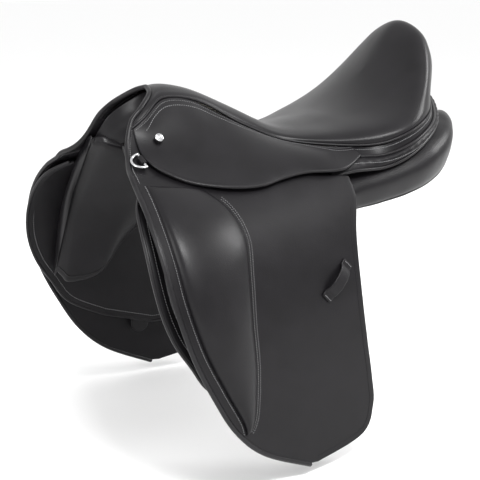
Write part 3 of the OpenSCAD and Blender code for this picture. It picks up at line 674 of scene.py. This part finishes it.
skirt_grid = skirt_surface(90, 26)
skirt_n = grid_normals(skirt_grid, np.array([100, 0, 0.0]))
fold_mid = (FOLD_FRONT + FOLD_REAR) / 2
fold_dir = unit(FOLD_FRONT - FOLD_REAR)
fold_down = unit(np.cross(fold_dir, np.cross((0, 0.75, -0.66), fold_dir)))
SKIRT_BEND = 7           # distance either side of the fold
SKIRT_BLEND = (fold_mid - fold_down * SKIRT_BEND, fold_mid + fold_down * SKIRT_BEND)

skirt = shell("skirt_piece", skirt_grid, SKIRT_T, (100, 0, 0), flap_leather)
bend_pair(skirt, "skirt", SKIRT_BLEND, "flap_leather", "skirt_{}", "skirt_top_{}")

# Rolled lip along the skirt's free edge
lip = skirt_grid[:, -1] - skirt_n[:, -1] * (SKIRT_T / 2) + unit(skirt_grid[:, -1] - skirt_grid[:, -2]) * 1.2
skirt_lip = tube("skirt_lip", lip[1:], 2.1, piping_leather, 2.5, 10)
bend_pair(skirt_lip, "skirt", SKIRT_BLEND, "piping_leather")

# Stitching beside the seam, and a second line that swings wide at the front
reach = np.cumsum(np.linalg.norm(np.diff(skirt_grid, axis=1), axis=2), axis=1)
reach = np.concatenate([np.zeros((len(reach), 1)), reach], 1)
rows = np.arange(len(skirt_grid))
wide = 9.0 + 12.0 * np.clip(1 - rows / 14.0, 0, 1)


def along_skirt(values, inset):
    """Values at a distance from the seam, one for each row of the skirt."""
    return np.array([[np.interp(inset[i], reach[i], values[i, :, k]) for k in range(3)] for i in rows])


line_n = along_skirt(skirt_n, wide)
for name, first, inset, size in (("skirt_stitches", 9, wide, (3.0,)),
                                 ("seam_stitches", 2, np.full(len(rows), 2.6), (2.6, 1.8, 0.3))):
    line = along_skirt(skirt_grid, inset)
    tag_pair(stitches(name, line[first:], line_n[first:], thread, *size), "saddle", "flap_leather")

# ---- flaps ----

FLAP_FRONT = [[283, fold_at(283)], [289, 26], [289.5, -15], [285, -58], [268, -115], [243, -166], [213, -214],
              [172, -251], [104, -283]]
FLAP_REAR = [[6, fold_at(6)], [18, -7], [22, -45], [20, -95], [14, -146], [6, -195], [3, -232], [20, -267],
             [92, -284]]
flap_xz = ladder(FLAP_FRONT, FLAP_REAR, 96, 72)
above = np.interp(flap_xz[0][:, 0], [0, 66, 126, 146, 222, 238, 252, 283], [23, 22, 16, 9, 8.5, 16, 19, 7])
tops = np.linspace(1, 0.1, 9)[:, None]
flap_top = np.stack([flap_xz[0][None, :, 0] - tops * np.linspace(1.2, 0, 73)[None],
                     flap_xz[0][None, :, 1] + tops * above[None]], -1)
flap_xz = np.concatenate([flap_top, flap_xz], 0)
flap_grid = on_side(flap_xz)
flap_ends = np.array([[x, side_y(x, fold_at(x)), fold_at(x)] for x in (0.0, 280.0)])
flap_axis = unit(flap_ends[1] - flap_ends[0])
flap_mid = flap_ends.mean(0)
down = np.array([0, side_y(140, fold_at(140) - 5) - side_y(140, fold_at(140) + 5), -10.0])
down = unit(down - np.dot(down, flap_axis) * flap_axis)
BEND_ABOVE, BEND_BELOW = 11, 3
FLAP_BLEND = (flap_mid - down * BEND_ABOVE, flap_mid + down * BEND_BELOW)

FLAP_T = 4.0
flap = shell("flap_piece", flap_grid, FLAP_T, (140, 0, -100), flap_leather)
bend_pair(flap, "flap", FLAP_BLEND, "flap_leather", "flap_{}")

# Front edge of the head down to the flap, and the leather beside it
HEAD_EDGE = [[283.5, 118.5, 60], [282, 106, 68.5], [278, 90, 74.5], [273, 78, 81], [269, 68, 88.5],
             [265, 59.5, 97.5], [261, 53.5, 107], [256, 48.5, 118], [250, 44, 127], [236, 39, 139],
             [216, 22, 154], [209, 0, 160.5]]
HEAD_INNER = [[240, 102, 66], [243, 94, 72], [250, 86, 77], [254, 76, 82.5], [254, 66.5, 90],
              [253.5, 58.5, 98.5], [252, 54, 107], [246, 50, 115]]
head_grid = ladder(HEAD_EDGE[:8], HEAD_INNER, 42, 12) + (0, 0.5, 0.6)
head = shell("head_piece", head_grid, 3.6, (200, 0, 0), flap_leather)
tag_pair(head, "saddle", "flap_leather", "flap_top_{}")
head_line = head_grid[:, 1] * 0.55 + head_grid[:, 2] * 0.45
head_n = grid_normals(head_grid, np.array([200, 0, 0.0]))[:, 1]
tag_pair(stitches("head_stitches", head_line, head_n, thread, 3.0), "saddle", "flap_leather")

# Piping: one roll from the middle of the pommel down the flap's front edge
PIPE_R, PIPE_IN = 3.1, 1.8
pipe_xz = curve(beside(FLAP_FRONT, 3.4), np.linspace(0, 1, 150))
flap_pipe = on_side(pipe_xz, -PIPE_IN)
tangent = unit(np.gradient(np.array(HEAD_EDGE), axis=0))
ahead = unit(np.array([1.0, 0, 0]) - tangent[:, :1] * tangent)
head_pipe = np.array(HEAD_EDGE) + ahead * PIPE_IN
head_pipe[-1] = [211.0, 0, 160.5]
head_pipe = curve(head_pipe, np.linspace(0, 1, 120))
flap_pipe = np.r_[head_pipe[[10, 7, 4, 1]], flap_pipe[flap_pipe[:, 2] < 52]]
flap_piping = tube("flap_piping", flap_pipe, PIPE_R, piping_leather, 2.5, 14)
bend_pair(flap_piping, "flap", FLAP_BLEND, "piping_leather", "flap_piping_{}")
head_piping = tube("head_piping", both(head_pipe[7:]), PIPE_R, piping_leather, 2.2, 14)
tag(head_piping, "saddle", "piping_leather", "pommel_piping")

# Creased line inside the flap's rear and lower edges
rear = curve(FLAP_REAR, np.linspace(0.05, 1, 90))
crease_line = beside(rear, 6.5)
crease_line = crease_line[crease_line[:, 0] < 120]
crease_line = off_side(crease_line, np.full(len(crease_line), -0.12))
tag_pair(tube("flap_crease", crease_line, 0.42, crease, 3.0, 6), "flap_{}", "flap_leather")

# ---- thigh pads ----

PAD_FRONT = [[271, 61], [277, 26], [277.5, -15], [273.5, -58], [257, -113], [232, -163], [209, -204],
             [203, -222]]
PAD_REAR = [[206, 53], [186, 32], [179, 2], [186, -38], [190, -90], [188, -146], [191, -200], [199, -219]]
PAD_HEIGHT = 12.6
pad_xz = ladder(PAD_FRONT, PAD_REAR, 80, 30)
v = np.linspace(0, 1, 81)[:, None]
w = np.linspace(0, 1, 31)[None]
crown = np.sin(np.pi * v) ** 0.42 * np.sin(np.pi * w ** 0.72) ** 0.55
pad_h = 0.5 + PAD_HEIGHT * crown * (0.72 + 0.28 * np.sin(np.pi * v))
pad_h += ripple(pad_xz.reshape(-1, 2) @ np.eye(3)[[0, 2]], 60, 0.5).reshape(pad_h.shape) * crown
pad_grid = off_side(pad_xz, pad_h)
thigh_pad = shell("thigh_pad_piece", pad_grid, 1.6, (200, 0, -80), pad_leather, 4)
tag_pair(thigh_pad, "flap_{}", "pad_leather", "thigh_pad_{}", fill=0.9)

STITCH_LIFT = 0.25
front_line = curve(PAD_FRONT, np.linspace(0.0, 0.99, 120)) + (3.2, 0)
front_stitches = stitches("pad_front_stitches", off_side(front_line, np.full(120, STITCH_LIFT)),
                          side_normal(front_line), thread, 2.9)
tag_pair(front_stitches, "flap_{}", "pad_leather")
# Zigzag behind the pad: two rows that slant opposite ways
for row, (gap, slant) in enumerate(((3.0, 0.9), (6.2, -0.9))):
    rear_line = beside(curve(PAD_REAR, np.linspace(0.1, 1, 140)), -gap)
    rear_stitches = stitches(f"pad_rear_stitches_{row}", off_side(rear_line, np.full(140, STITCH_LIFT)),
                             side_normal(rear_line), thread, 2.9, 2.1, 0.36, slant)
    tag_pair(rear_stitches, "flap_{}", "pad_leather")

# ---- keepers ----

KEEPER_WIDTH, KEEPER_RISE = 13.0, 7.0
low, high = np.array([76, -79.0]), np.array([42, -46.0])
along = (high - low) / np.linalg.norm(high - low)
across = np.array([along[1], -along[0]])
u = np.linspace(-0.06, 1.06, 40)
bow = 0.3 + KEEPER_RISE * np.sin(np.pi * np.clip((u - 0.1) / 0.8, 0, 1)) ** 0.45 + 2.5
keeper_w = across * np.linspace(-KEEPER_WIDTH / 2, KEEPER_WIDTH / 2, 9)[None, :, None]
keeper_xz = (low + (high - low) * u[:, None])[:, None] + keeper_w
keeper_grid = on_side(keeper_xz, bow[:, None])
keeper = shell("keeper_piece", keeper_grid, 2.4, (60, 0, -60), strap_leather)
tag_pair(keeper, "flap_{}", "flap_leather", "leather_keeper_{}")
for end, at in enumerate((1, -2)):
    row = keeper_xz[at]
    keeper_stitches = stitches(f"keeper_stitches_{end}", on_side(row, bow[at] + 0.1), side_normal(row),
                               thread, 2.4)
    tag_pair(keeper_stitches, "flap_{}", "flap_leather")

# ---- sweat flaps ----

SWEAT_GAP = 20.0         # from the flap's outer face to the sweat flap's
SWEAT_FRONT = [[268, 56], [292, 34], [300, -10], [297, -58], [284, -98], [263, -131], [237, -166],
               [186, -192]]
SWEAT_REAR = [[18, 25], [19, -10], [17, -60], [13, -105], [12, -150], [26, -188], [60, -208], [112, -213]]
sweat_grid = on_side(ladder(SWEAT_FRONT, SWEAT_REAR, 80, 50), -SWEAT_GAP)
sweat_flap = shell("sweat_flap_piece", sweat_grid, FLAP_T, (140, 0, -100), sweat_leather)
tag_pair(sweat_flap, "saddle", "sweat_flap_leather", "sweat_flap_{}")
rim_xz = np.r_[curve(SWEAT_FRONT, np.linspace(0.03, 1, 90)), curve(SWEAT_REAR, np.linspace(1, 0.25, 60))]
rim_out = on_side(beside(rim_xz, 2.0), -SWEAT_GAP - 2.7)
sweat_piping = tube("sweat_piping", rim_out, 2.4, piping_leather, 3, 10)
tag_pair(sweat_piping, "saddle", "piping_leather")
rim_in = beside(rim_xz, -6.0)
for face, (off, way) in enumerate(((-SWEAT_GAP + 0.1, 1), (-SWEAT_GAP - FLAP_T - 0.1, -1))):
    sweat_stitches = stitches(f"sweat_stitches_{face}", on_side(rim_in, off), way * side_normal(rim_in),
                              thread, 3.2)
    tag_pair(sweat_stitches, "saddle", "sweat_flap_leather")

BLOCK_HEIGHT = 10.0
BLOCK_FRONT = [[282, 12], [288, -22], [285, -60], [271, -98], [250, -130], [228, -158]]
BLOCK_REAR = [[262, 14], [254, -22], [248, -58], [236, -92], [218, -122], [204, -150]]
block_xz = ladder(BLOCK_FRONT, BLOCK_REAR, 50, 18)
v, w = np.linspace(0, 1, 51)[:, None], np.linspace(0, 1, 19)[None]
block_h = 1.2 + BLOCK_HEIGHT * np.sin(np.pi * v) ** 0.45 * np.sin(np.pi * w) ** 0.5
block_grid = on_side(block_xz, -SWEAT_GAP + block_h)
knee_block = shell("knee_block_piece", block_grid, 1.0, (240, 0, -80), block_fabric, 3)
tag_pair(knee_block, "saddle", "block_fabric", "knee_block_{}", fill=0.95)

# ---- panels ----

# Each station from rear to front: x, half thickness, then five (y, z) points of its middle line
PANEL_STATIONS = [
    [-236, 9, [37, 84], [40, 84], [43, 84], [46, 84], [50, 84]],
    [-230, 24, [36, 82], [41, 82], [48, 82], [56, 82], [64, 81]],
    [-214, 33, [35, 77], [46, 77], [59, 77], [73, 76], [88, 73]],
    [-188, 36, [35, 66], [53, 67], [72, 67], [93, 65], [114, 59]],
    [-145, 37, [36, 50], [58, 53], [82, 53], [108, 50], [134, 41]],
    [-80, 30, [36, 37], [60, 41], [88, 40], [116, 36], [144, 27]],
    [0, 24, [37, 35], [60, 39], [86, 38], [114, 31], [145, 14]],
    [55, 19, [38, 43], [58, 45], [83, 36], [111, 18], [142, -12]],
    [100, 14, [39, 58], [56, 54], [78, 34], [108, 4], [142, -30]],
    [145, 11, [36, 71], [48, 58], [66, 36], [104, 0], [152, -44]],
    [178, 10, [36, 77], [47, 60], [68, 36], [114, -10], [162, -76]],
    [203, 10, [35, 80], [46, 62], [72, 38], [128, -20], [178, -122]],
    [245, 10, [37, 90], [52, 80], [84, 48], [144, -20], [188, -132]],
    [258, 8, [43, 92], [60, 82], [90, 54], [148, -18], [188, -122]],
    [267, 4, [50, 90], [66, 80], [95, 56], [152, -18], [188, -112]]]
flat = np.array([[k[0], k[1]] + sum(k[2:], []) for k in PANEL_STATIONS], float)


def panel_ring(s, w):
    """Points round the panel at station s (0 rear to 1 front), at angles w."""
    row = curve(flat, np.array([s]))[0]
    line = np.stack([np.full(5, row[0]), row[2::2], row[3::2]], 1)
    power = np.interp(row[0], [-236, -120, -20], [0.95, 0.85, 0.62])
    c = np.sign(np.cos(w)) * np.abs(np.cos(w)) ** power
    q = np.sign(np.sin(w)) * np.abs(np.sin(w)) ** power
    m = (1 + c) / 2
    p = curve(line, m)
    d = curve(line, np.minimum(m + 0.02, 1)) - curve(line, np.maximum(m - 0.02, 0))
    n = unit(np.stack([0 * c, d[:, 2], -d[:, 1]], 1))
    return p - n * (q * row[1])[:, None]


rings, around = 110, 56
angles = (np.arange(around) + 0.5) * 2 * np.pi / around
panel = np.array([panel_ring(s, angles) for s in np.linspace(0, 1, rings + 1)])
shape = panel.reshape(-1, 3)
panel_faces = grid_faces(rings + 1, around, 0, True)
ends = [len(shape), len(shape) + 1]
shape = np.r_[shape, [panel[0].mean(0)], [panel[-1].mean(0)]]
panel_faces += [(ends[0], (j + 1) % around, j) for j in range(around)]
panel_faces += [(ends[1], rings * around + j, rings * around + (j + 1) % around) for j in range(around)]
shape = relax(shape, panel_faces, np.zeros(len(shape), bool), 14)
middle = np.array([np.interp(shape[:, 0], flat[:, 0], flat[:, column]) for column in (6, 7)]).T
lift = ripple(shape, 38, 0.9, 3.1) + ripple(shape, 14, 0.35, 7.7)
away = unit(np.stack([np.zeros(len(shape)), shape[:, 1] - middle[:, 0], shape[:, 2] - middle[:, 1]], 1))
shape = shape + away * (lift - 0.5)[:, None]
panel_piece = mesh("panel_piece", shape, panel_faces, panel_leather)
tag_pair(panel_piece, "saddle", "panel_leather", "panel_{}", fill=0.8)

# Seam along the panel's lower side
body = shape[:(rings + 1) * around].reshape(rings + 1, around, 3)
lower_side = min((4, around - 5), key=lambda column: body[:, column, 2].mean())
seam, hub = body[3:-2, lower_side], body[3:-2].mean(1)
seam = seam + unit(seam - hub) * 0.3
tag_pair(tube("panel_seam_0", seam, 1.0, piping_leather, 3, 8), "saddle", "panel_leather")

# ---- cantle band ----

BAND_HIGH = np.r_[[[22, 79, 76.0]], np.array(SEAT_WELT[6:]) - (0, 0, 3.2)]
BAND_LOW = np.array([[22, 138, 52], [-8, 143, 57], [-56, 141, 57], [-98, 137, 67], [-138, 123, 82],
                     [-174, 99, 97], [-204, 60, 112], [-219, 28, 123], [-223, 0, 127.0]])
BAND_COLUMNS = 28
ROLL = 0.52              # share of the band above its lower roll
ROLL_HEIGHT, GATHER = 5.0, 0.3
t = np.linspace(0, 1, 150)
high_line, low_line = both(curve(BAND_HIGH, t)), both(curve(BAND_LOW, t))
share = np.linspace(0, 1, BAND_COLUMNS + 1)[None, :, None]
band_grid = high_line[:, None] + (low_line - high_line)[:, None] * share
band_n = grid_normals(band_grid, np.array([-60, 0, 90.0]))
swell = np.sin(np.pi * np.clip((share - ROLL) / (1 - ROLL), 0, 1)) ** 0.7
travel = np.r_[0, np.cumsum(np.linalg.norm(np.diff(low_line, axis=0), axis=1))]
gather = GATHER * np.sin(travel / 2.2 + 1.7 * np.sin(travel / 47.0))[:, None, None]
band_grid = band_grid + band_n * (0.8 * np.sin(np.pi * share) - 0.2 + (ROLL_HEIGHT + gather) * swell)
cantle_band = shell("cantle_band_piece", band_grid, 3.0, (-60, 0, 90), flap_leather)
tag(cantle_band, "saddle", "flap_leather", "cantle_band")
split = int(ROLL * BAND_COLUMNS)
upper = band_grid[:, split] + band_n[:, split] * 1.0
lower = band_grid[:, -1] + band_n[:, -1] * 0.6 - (0, 0, 1.5)
tag(tube("cantle_piping", upper, 2.2, piping_leather, 2.5, 12), "saddle", "piping_leather")
tag(tube("cantle_edge", lower, 2.3, piping_leather, 2.5, 12), "saddle", "piping_leather")
roll_n = grid_normals(band_grid, np.array([-60, 0, 90.0]))
for row, column in enumerate((4, 24)):
    line = band_grid[3:-3, column] + roll_n[3:-3, column] * 0.1
    tag(stitches(f"cantle_stitches_{row}", line, roll_n[3:-3, column], thread, 2.8), "saddle", "flap_leather")

# ---- arch lining ----

LINING_FRONT = [[205, 0, 154], [211, 18, 148.5], [230, 33.5, 133.5], [245, 39.5, 120.5], [253.5, 47, 105.5],
                [258.5, 57, 90], [263, 71.5, 77]]
LINING_MID = [[213, 0, 132], [216, 16, 126], [229, 29, 110], [244, 39, 95], [252, 52, 81], [258, 67, 68]]
LINING_REAR = [[188, 0, 118], [191, 10, 115], [202, 20, 104], [218, 29, 93], [238, 41, 81], [250, 57, 68]]
LINING_ROWS = 97
lining_lines = [curve(both(line), np.linspace(0, 1, LINING_ROWS))
                for line in (LINING_FRONT, LINING_MID, LINING_REAR)]
lining_grid = np.array([curve(across_lines, np.linspace(0, 1, 17)) for across_lines in zip(*lining_lines)])
arch_lining = shell("arch_lining_piece", lining_grid, 2.5, (205, 0, 160), seat_leather)
tag(arch_lining, "saddle", "flap_leather", "arch_lining")

# ---- girth straps ----

STRAP_T, STRAP_W, HOLE_R = 3.5, 25.0, 2.5
HOLES, HOLE_PITCH, FIRST_HOLE = 5, 25, 20
STRAP_BEND, STRAP_END = -110.0, -230.0      # heights where it turns straight down, and of its tip
TIP = 12


def strap_lines(x, top):
    """Middle line of a girth strap and its half width along it."""
    z = np.linspace(top, STRAP_BEND, 40)
    hanging = np.stack([np.full(40, x), side_y(np.full(40, x), z) - 12, z], 1)
    y = float(side_y(x, STRAP_BEND)) - 12 + 2.5
    z = np.linspace(STRAP_BEND - 12, STRAP_END + TIP, 40)
    path = resample(np.r_[hanging, np.stack([np.full(40, x), np.full(40, y), z], 1)], 3.0)
    tip = np.linspace(0, 1, 8)[1:]
    rounding = np.sqrt(np.clip(1 - tip ** 2 * 0.93, 0.02, 1))
    half = STRAP_W / 2 * np.r_[np.ones(len(path)), rounding]
    return np.r_[path, [[x, y, STRAP_END + TIP - TIP * q] for q in tip]], half


def punched(o, places):
    """Cuts round holes through a piece, along y."""
    cutters = []
    for place in places:
        bm = bmesh.new()
        bmesh.ops.create_cone(bm, cap_ends=True, segments=24, radius1=HOLE_R * MM, radius2=HOLE_R * MM,
                              depth=12 * MM)
        for v in bm.verts:
            c = v.co.copy()
            v.co = Vector((place[0] * MM + c.x, place[1] * MM + c.z, place[2] * MM + c.y))
        bmesh.ops.recalc_face_normals(bm, faces=bm.faces)
        data = bpy.data.meshes.new("cutter")
        bm.to_mesh(data)
        bm.free()
        cutters.append(bpy.data.objects.new("cutter", data))
        bpy.context.scene.collection.objects.link(cutters[-1])
        hole = o.modifiers.new("hole", "BOOLEAN")
        hole.operation = "DIFFERENCE"
        hole.object = cutters[-1]
        hole.solver = "EXACT"
    bpy.context.view_layer.update()
    done = bpy.data.meshes.new_from_object(o.evaluated_get(bpy.context.evaluated_depsgraph_get()))
    o.modifiers.clear()
    o.data = done
    for cutter in cutters:
        bpy.data.objects.remove(cutter)


for name, x, top in (("front", 128, 33), ("rear", 62, 25)):
    path, half = strap_lines(x, top)
    grid = path[:, None] + half[:, None, None] * np.linspace(-1, 1, 9)[None, :, None] * (1, 0, 0)
    strap = shell(f"girth_strap_{name}_piece", grid + (0, STRAP_T / 2, 0), STRAP_T, (x, 0, 0), strap_leather)
    for letter, edge in (("a", -9.5), ("b", 9.5)):
        row = path[3:-7] + (edge, STRAP_T / 2 + 0.1, 0)
        strap_stitches = stitches(f"strap_stitches_{name}_{letter}", row, (0, 1, 0), thread, 3.4)
        tag_pair(strap_stitches, f"{name}_strap_{{}}", "strap_leather")
    punched(strap, [(x, path[-1, 1], STRAP_END + FIRST_HOLE + HOLE_PITCH * hole) for hole in range(HOLES)])
    tag_pair(strap, f"{name}_strap_{{}}", "strap_leather", f"girth_strap_{name}_{{}}")

# ---- studs ----

low_corner, high_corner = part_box("skirt_stud_left")
stud_at = np.array([(a + b) / 2 for a, b in zip(low_corner, high_corner)]) / MM
stud_n = unit(np.array([0, math.sin(math.radians(52)), math.cos(math.radians(52))]))
# Radius and height: plain turned rings
STUD_PROFILE = ((5.5, -2.0), (5.5, 0.9), (5.1, 1.6), (4.4, 1.8), (4.1, 0.7), (3.6, 0.7), (3.3, 2.0),
                (2.4, 2.3), (2.0, 1.0), (1.5, 1.0), (1.2, 2.4), (0.4, 2.6))
STUD_SIDES, STUD_LIFT = 32, 0.2
stud_a = unit(np.cross(stud_n, (1, 0, 0)))
stud_b = np.cross(stud_n, stud_a)
w = np.linspace(0, 2 * np.pi, STUD_SIDES, endpoint=False)
stud = np.concatenate([[stud_at + radius * (stud_a * math.cos(k) + stud_b * math.sin(k))
                        + stud_n * (height + STUD_LIFT) for k in w] for radius, height in STUD_PROFILE])
stud_faces = grid_faces(len(STUD_PROFILE), STUD_SIDES, 0, True)
stud_faces += [tuple(range(STUD_SIDES)), tuple(len(stud) - STUD_SIDES + j for j in range(STUD_SIDES))]
tag_pair(mesh("stud_piece", stud, stud_faces, bright), "saddle", "bright_steel", "skirt_stud_{}")

# ---- webs and chapes ----

WEB_PATH = [[183, 9, 141.4], [150, 9, 132.5], [98, 9, 109], [40, 9, 85], [-5, 9, 85], [-40, 9, 91],
            [-76, 9, 101], [-114, 9, 112], [-150, 9, 119]]


def ribbon(name, path, across, width, thick, centre, material, wave=0.25):
    """Strip of webbing along a line, thick at its woven edges."""
    p = resample(path, 2.5)
    w = np.linspace(-1, 1, 13)
    side = unit(across)
    g = p[:, None] + w[None, :, None] * side * width / 2
    n = grid_normals(g, np.asarray(centre, float))
    woven_edge = 0.3 * (np.abs(w) > 0.8)[None]
    lift = wave * np.sin(np.arange(len(p)) / 3.1)[:, None] * (1 - w ** 2)[None] + woven_edge
    return shell(name, g + n * lift[..., None], thick, centre, material, 4)


web_line = curve(WEB_PATH, np.linspace(0, 1, 60)) + (0, 0, 0.9)
seat_web = ribbon("seat_web", web_line, (0, 1, 0), 15, 1.8, (20, 9, -300), webbing)
for o, side in pair(seat_web):
    tag(o, "saddle", "webbing", *(("seat_webs",) if side == "left" else ()))
cross_line = np.array([[23, -37.5, 82.4], [23, 0, 82.2], [23, 37.5, 82.4]])
tag(ribbon("seat_web_across", cross_line, (1, 0, 0), 26, 1.8, (23, 0, -300), webbing), "saddle", "webbing")

WEB_LINES = (("front", 128, [[40, 101], [66, 74], [90, 53], [110, 47.5], [129.5, 42.3], [141, 36.2]]),
             ("rear", 62, [[50, 68.5], [84, 64.5], [108, 58.5], [124, 49], [136, 39.5], [146.5, 28.5]]))
for place, x, line in WEB_LINES:
    path = curve([[x, y, z + 1.0] for y, z in line], np.linspace(0, 1, 50))
    strip = ribbon(f"girth_web_{place}", path, (1, 0, 0), 25, 2.2, (x, 60, -200), webbing)
    for o, side in pair(strip):
        tag(o, "saddle", "webbing", *((f"girth_web_{side}",) if place == "front" else ()))

# The chape wraps the straight side of the dee ring, which lies tilted
CHAPE_AT = np.array([259.7, 84.5, 84.6])
CHAPE_R = 3.45
tilt = math.radians(27)
dee_across = np.array([0, math.cos(tilt), -math.sin(tilt)])
dee_up = np.array([0, math.sin(tilt), math.cos(tilt)])
w = np.linspace(-0.35, math.pi + 0.35, 22)
arc = CHAPE_R * np.stack([np.cos(w), np.sin(w)], 1)
loop = np.r_[[[2.9, -5.0], [3.3, -3.2]], arc, [[-2.6, -3.2], [-1.4, -5.0]]]
chape = CHAPE_AT + loop[:, :1] * np.array([1.0, 0, 0]) + loop[:, 1:] * dee_up
chape_grid = resample(chape, 0.8)[:, None] + np.linspace(-6, 6, 9)[None, :, None] * dee_across
dee_chape = shell("dee_chape_piece", chape_grid, 1.5, tuple(CHAPE_AT), strap_leather, 5)
tag_pair(dee_chape, "saddle", "flap_leather", "dee_chape_{}")

# ---- CAD nodes that keep their shape ----

KEPT = {"tree": beech, "head_plate": forged, "gullet_plate": forged, "tree_rivets": bright, "spring": blued,
        "stirrup_bar": forged, "bar_catch": forged, "dee": bright}
for name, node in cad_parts.items():
    base = name.rsplit("_", 1)[0] if name.endswith(SIDES) else name
    if base in KEPT:
        node.data.materials.clear()
        node.data.materials.append(KEPT[base])

# ---- floor and light ----

FLOOR_DROP = 0.012
floor_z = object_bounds()[0][2] - FLOOR_DROP
bpy.ops.mesh.primitive_plane_add(size=30, location=(0, 0, floor_z))
floor = bpy.context.object
floor.name = "floor"
paint = bpy.data.materials.new("floor")
paint.use_nodes = True
paint_shader = paint.node_tree.nodes["Principled BSDF"]
paint_shader.inputs["Base Color"].default_value = (0.86, 0.86, 0.86, 1)
paint_shader.inputs["Roughness"].default_value = 0.9
floor.data.materials.append(paint)

world = bpy.data.worlds.new("world")
bpy.context.scene.world = world
world.use_nodes = True
sky = world.node_tree.nodes["Background"]
sky.inputs["Color"].default_value = (1.0, 1.0, 1.0, 1)
sky.inputs["Strength"].default_value = 1.12


def light(name, place, aim, size, power):
    """Soft rectangular lamp that looks at a point; metres and watts."""
    data = bpy.data.lights.new(name, "AREA")
    data.shape = "RECTANGLE"
    data.size, data.size_y = size
    data.energy = power
    o = bpy.data.objects.new(name, data)
    bpy.context.scene.collection.objects.link(o)
    o.location = place
    o.rotation_euler = (Vector(aim) - Vector(place)).to_track_quat("-Z", "Y").to_euler()


light("key", (0.2, 1.5, 1.9), (0.0, 0.1, 0.0), (0.8, 0.5), 62)
light("fill", (2.0, 0.3, 0.8), (0.1, 0.0, 0.0), (0.6, 1.0), 18)
light("rim", (-1.6, 0.6, 1.2), (-0.1, 0.0, 0.1), (0.5, 0.8), 26)

bpy.context.scene.view_settings.view_transform = "Standard"
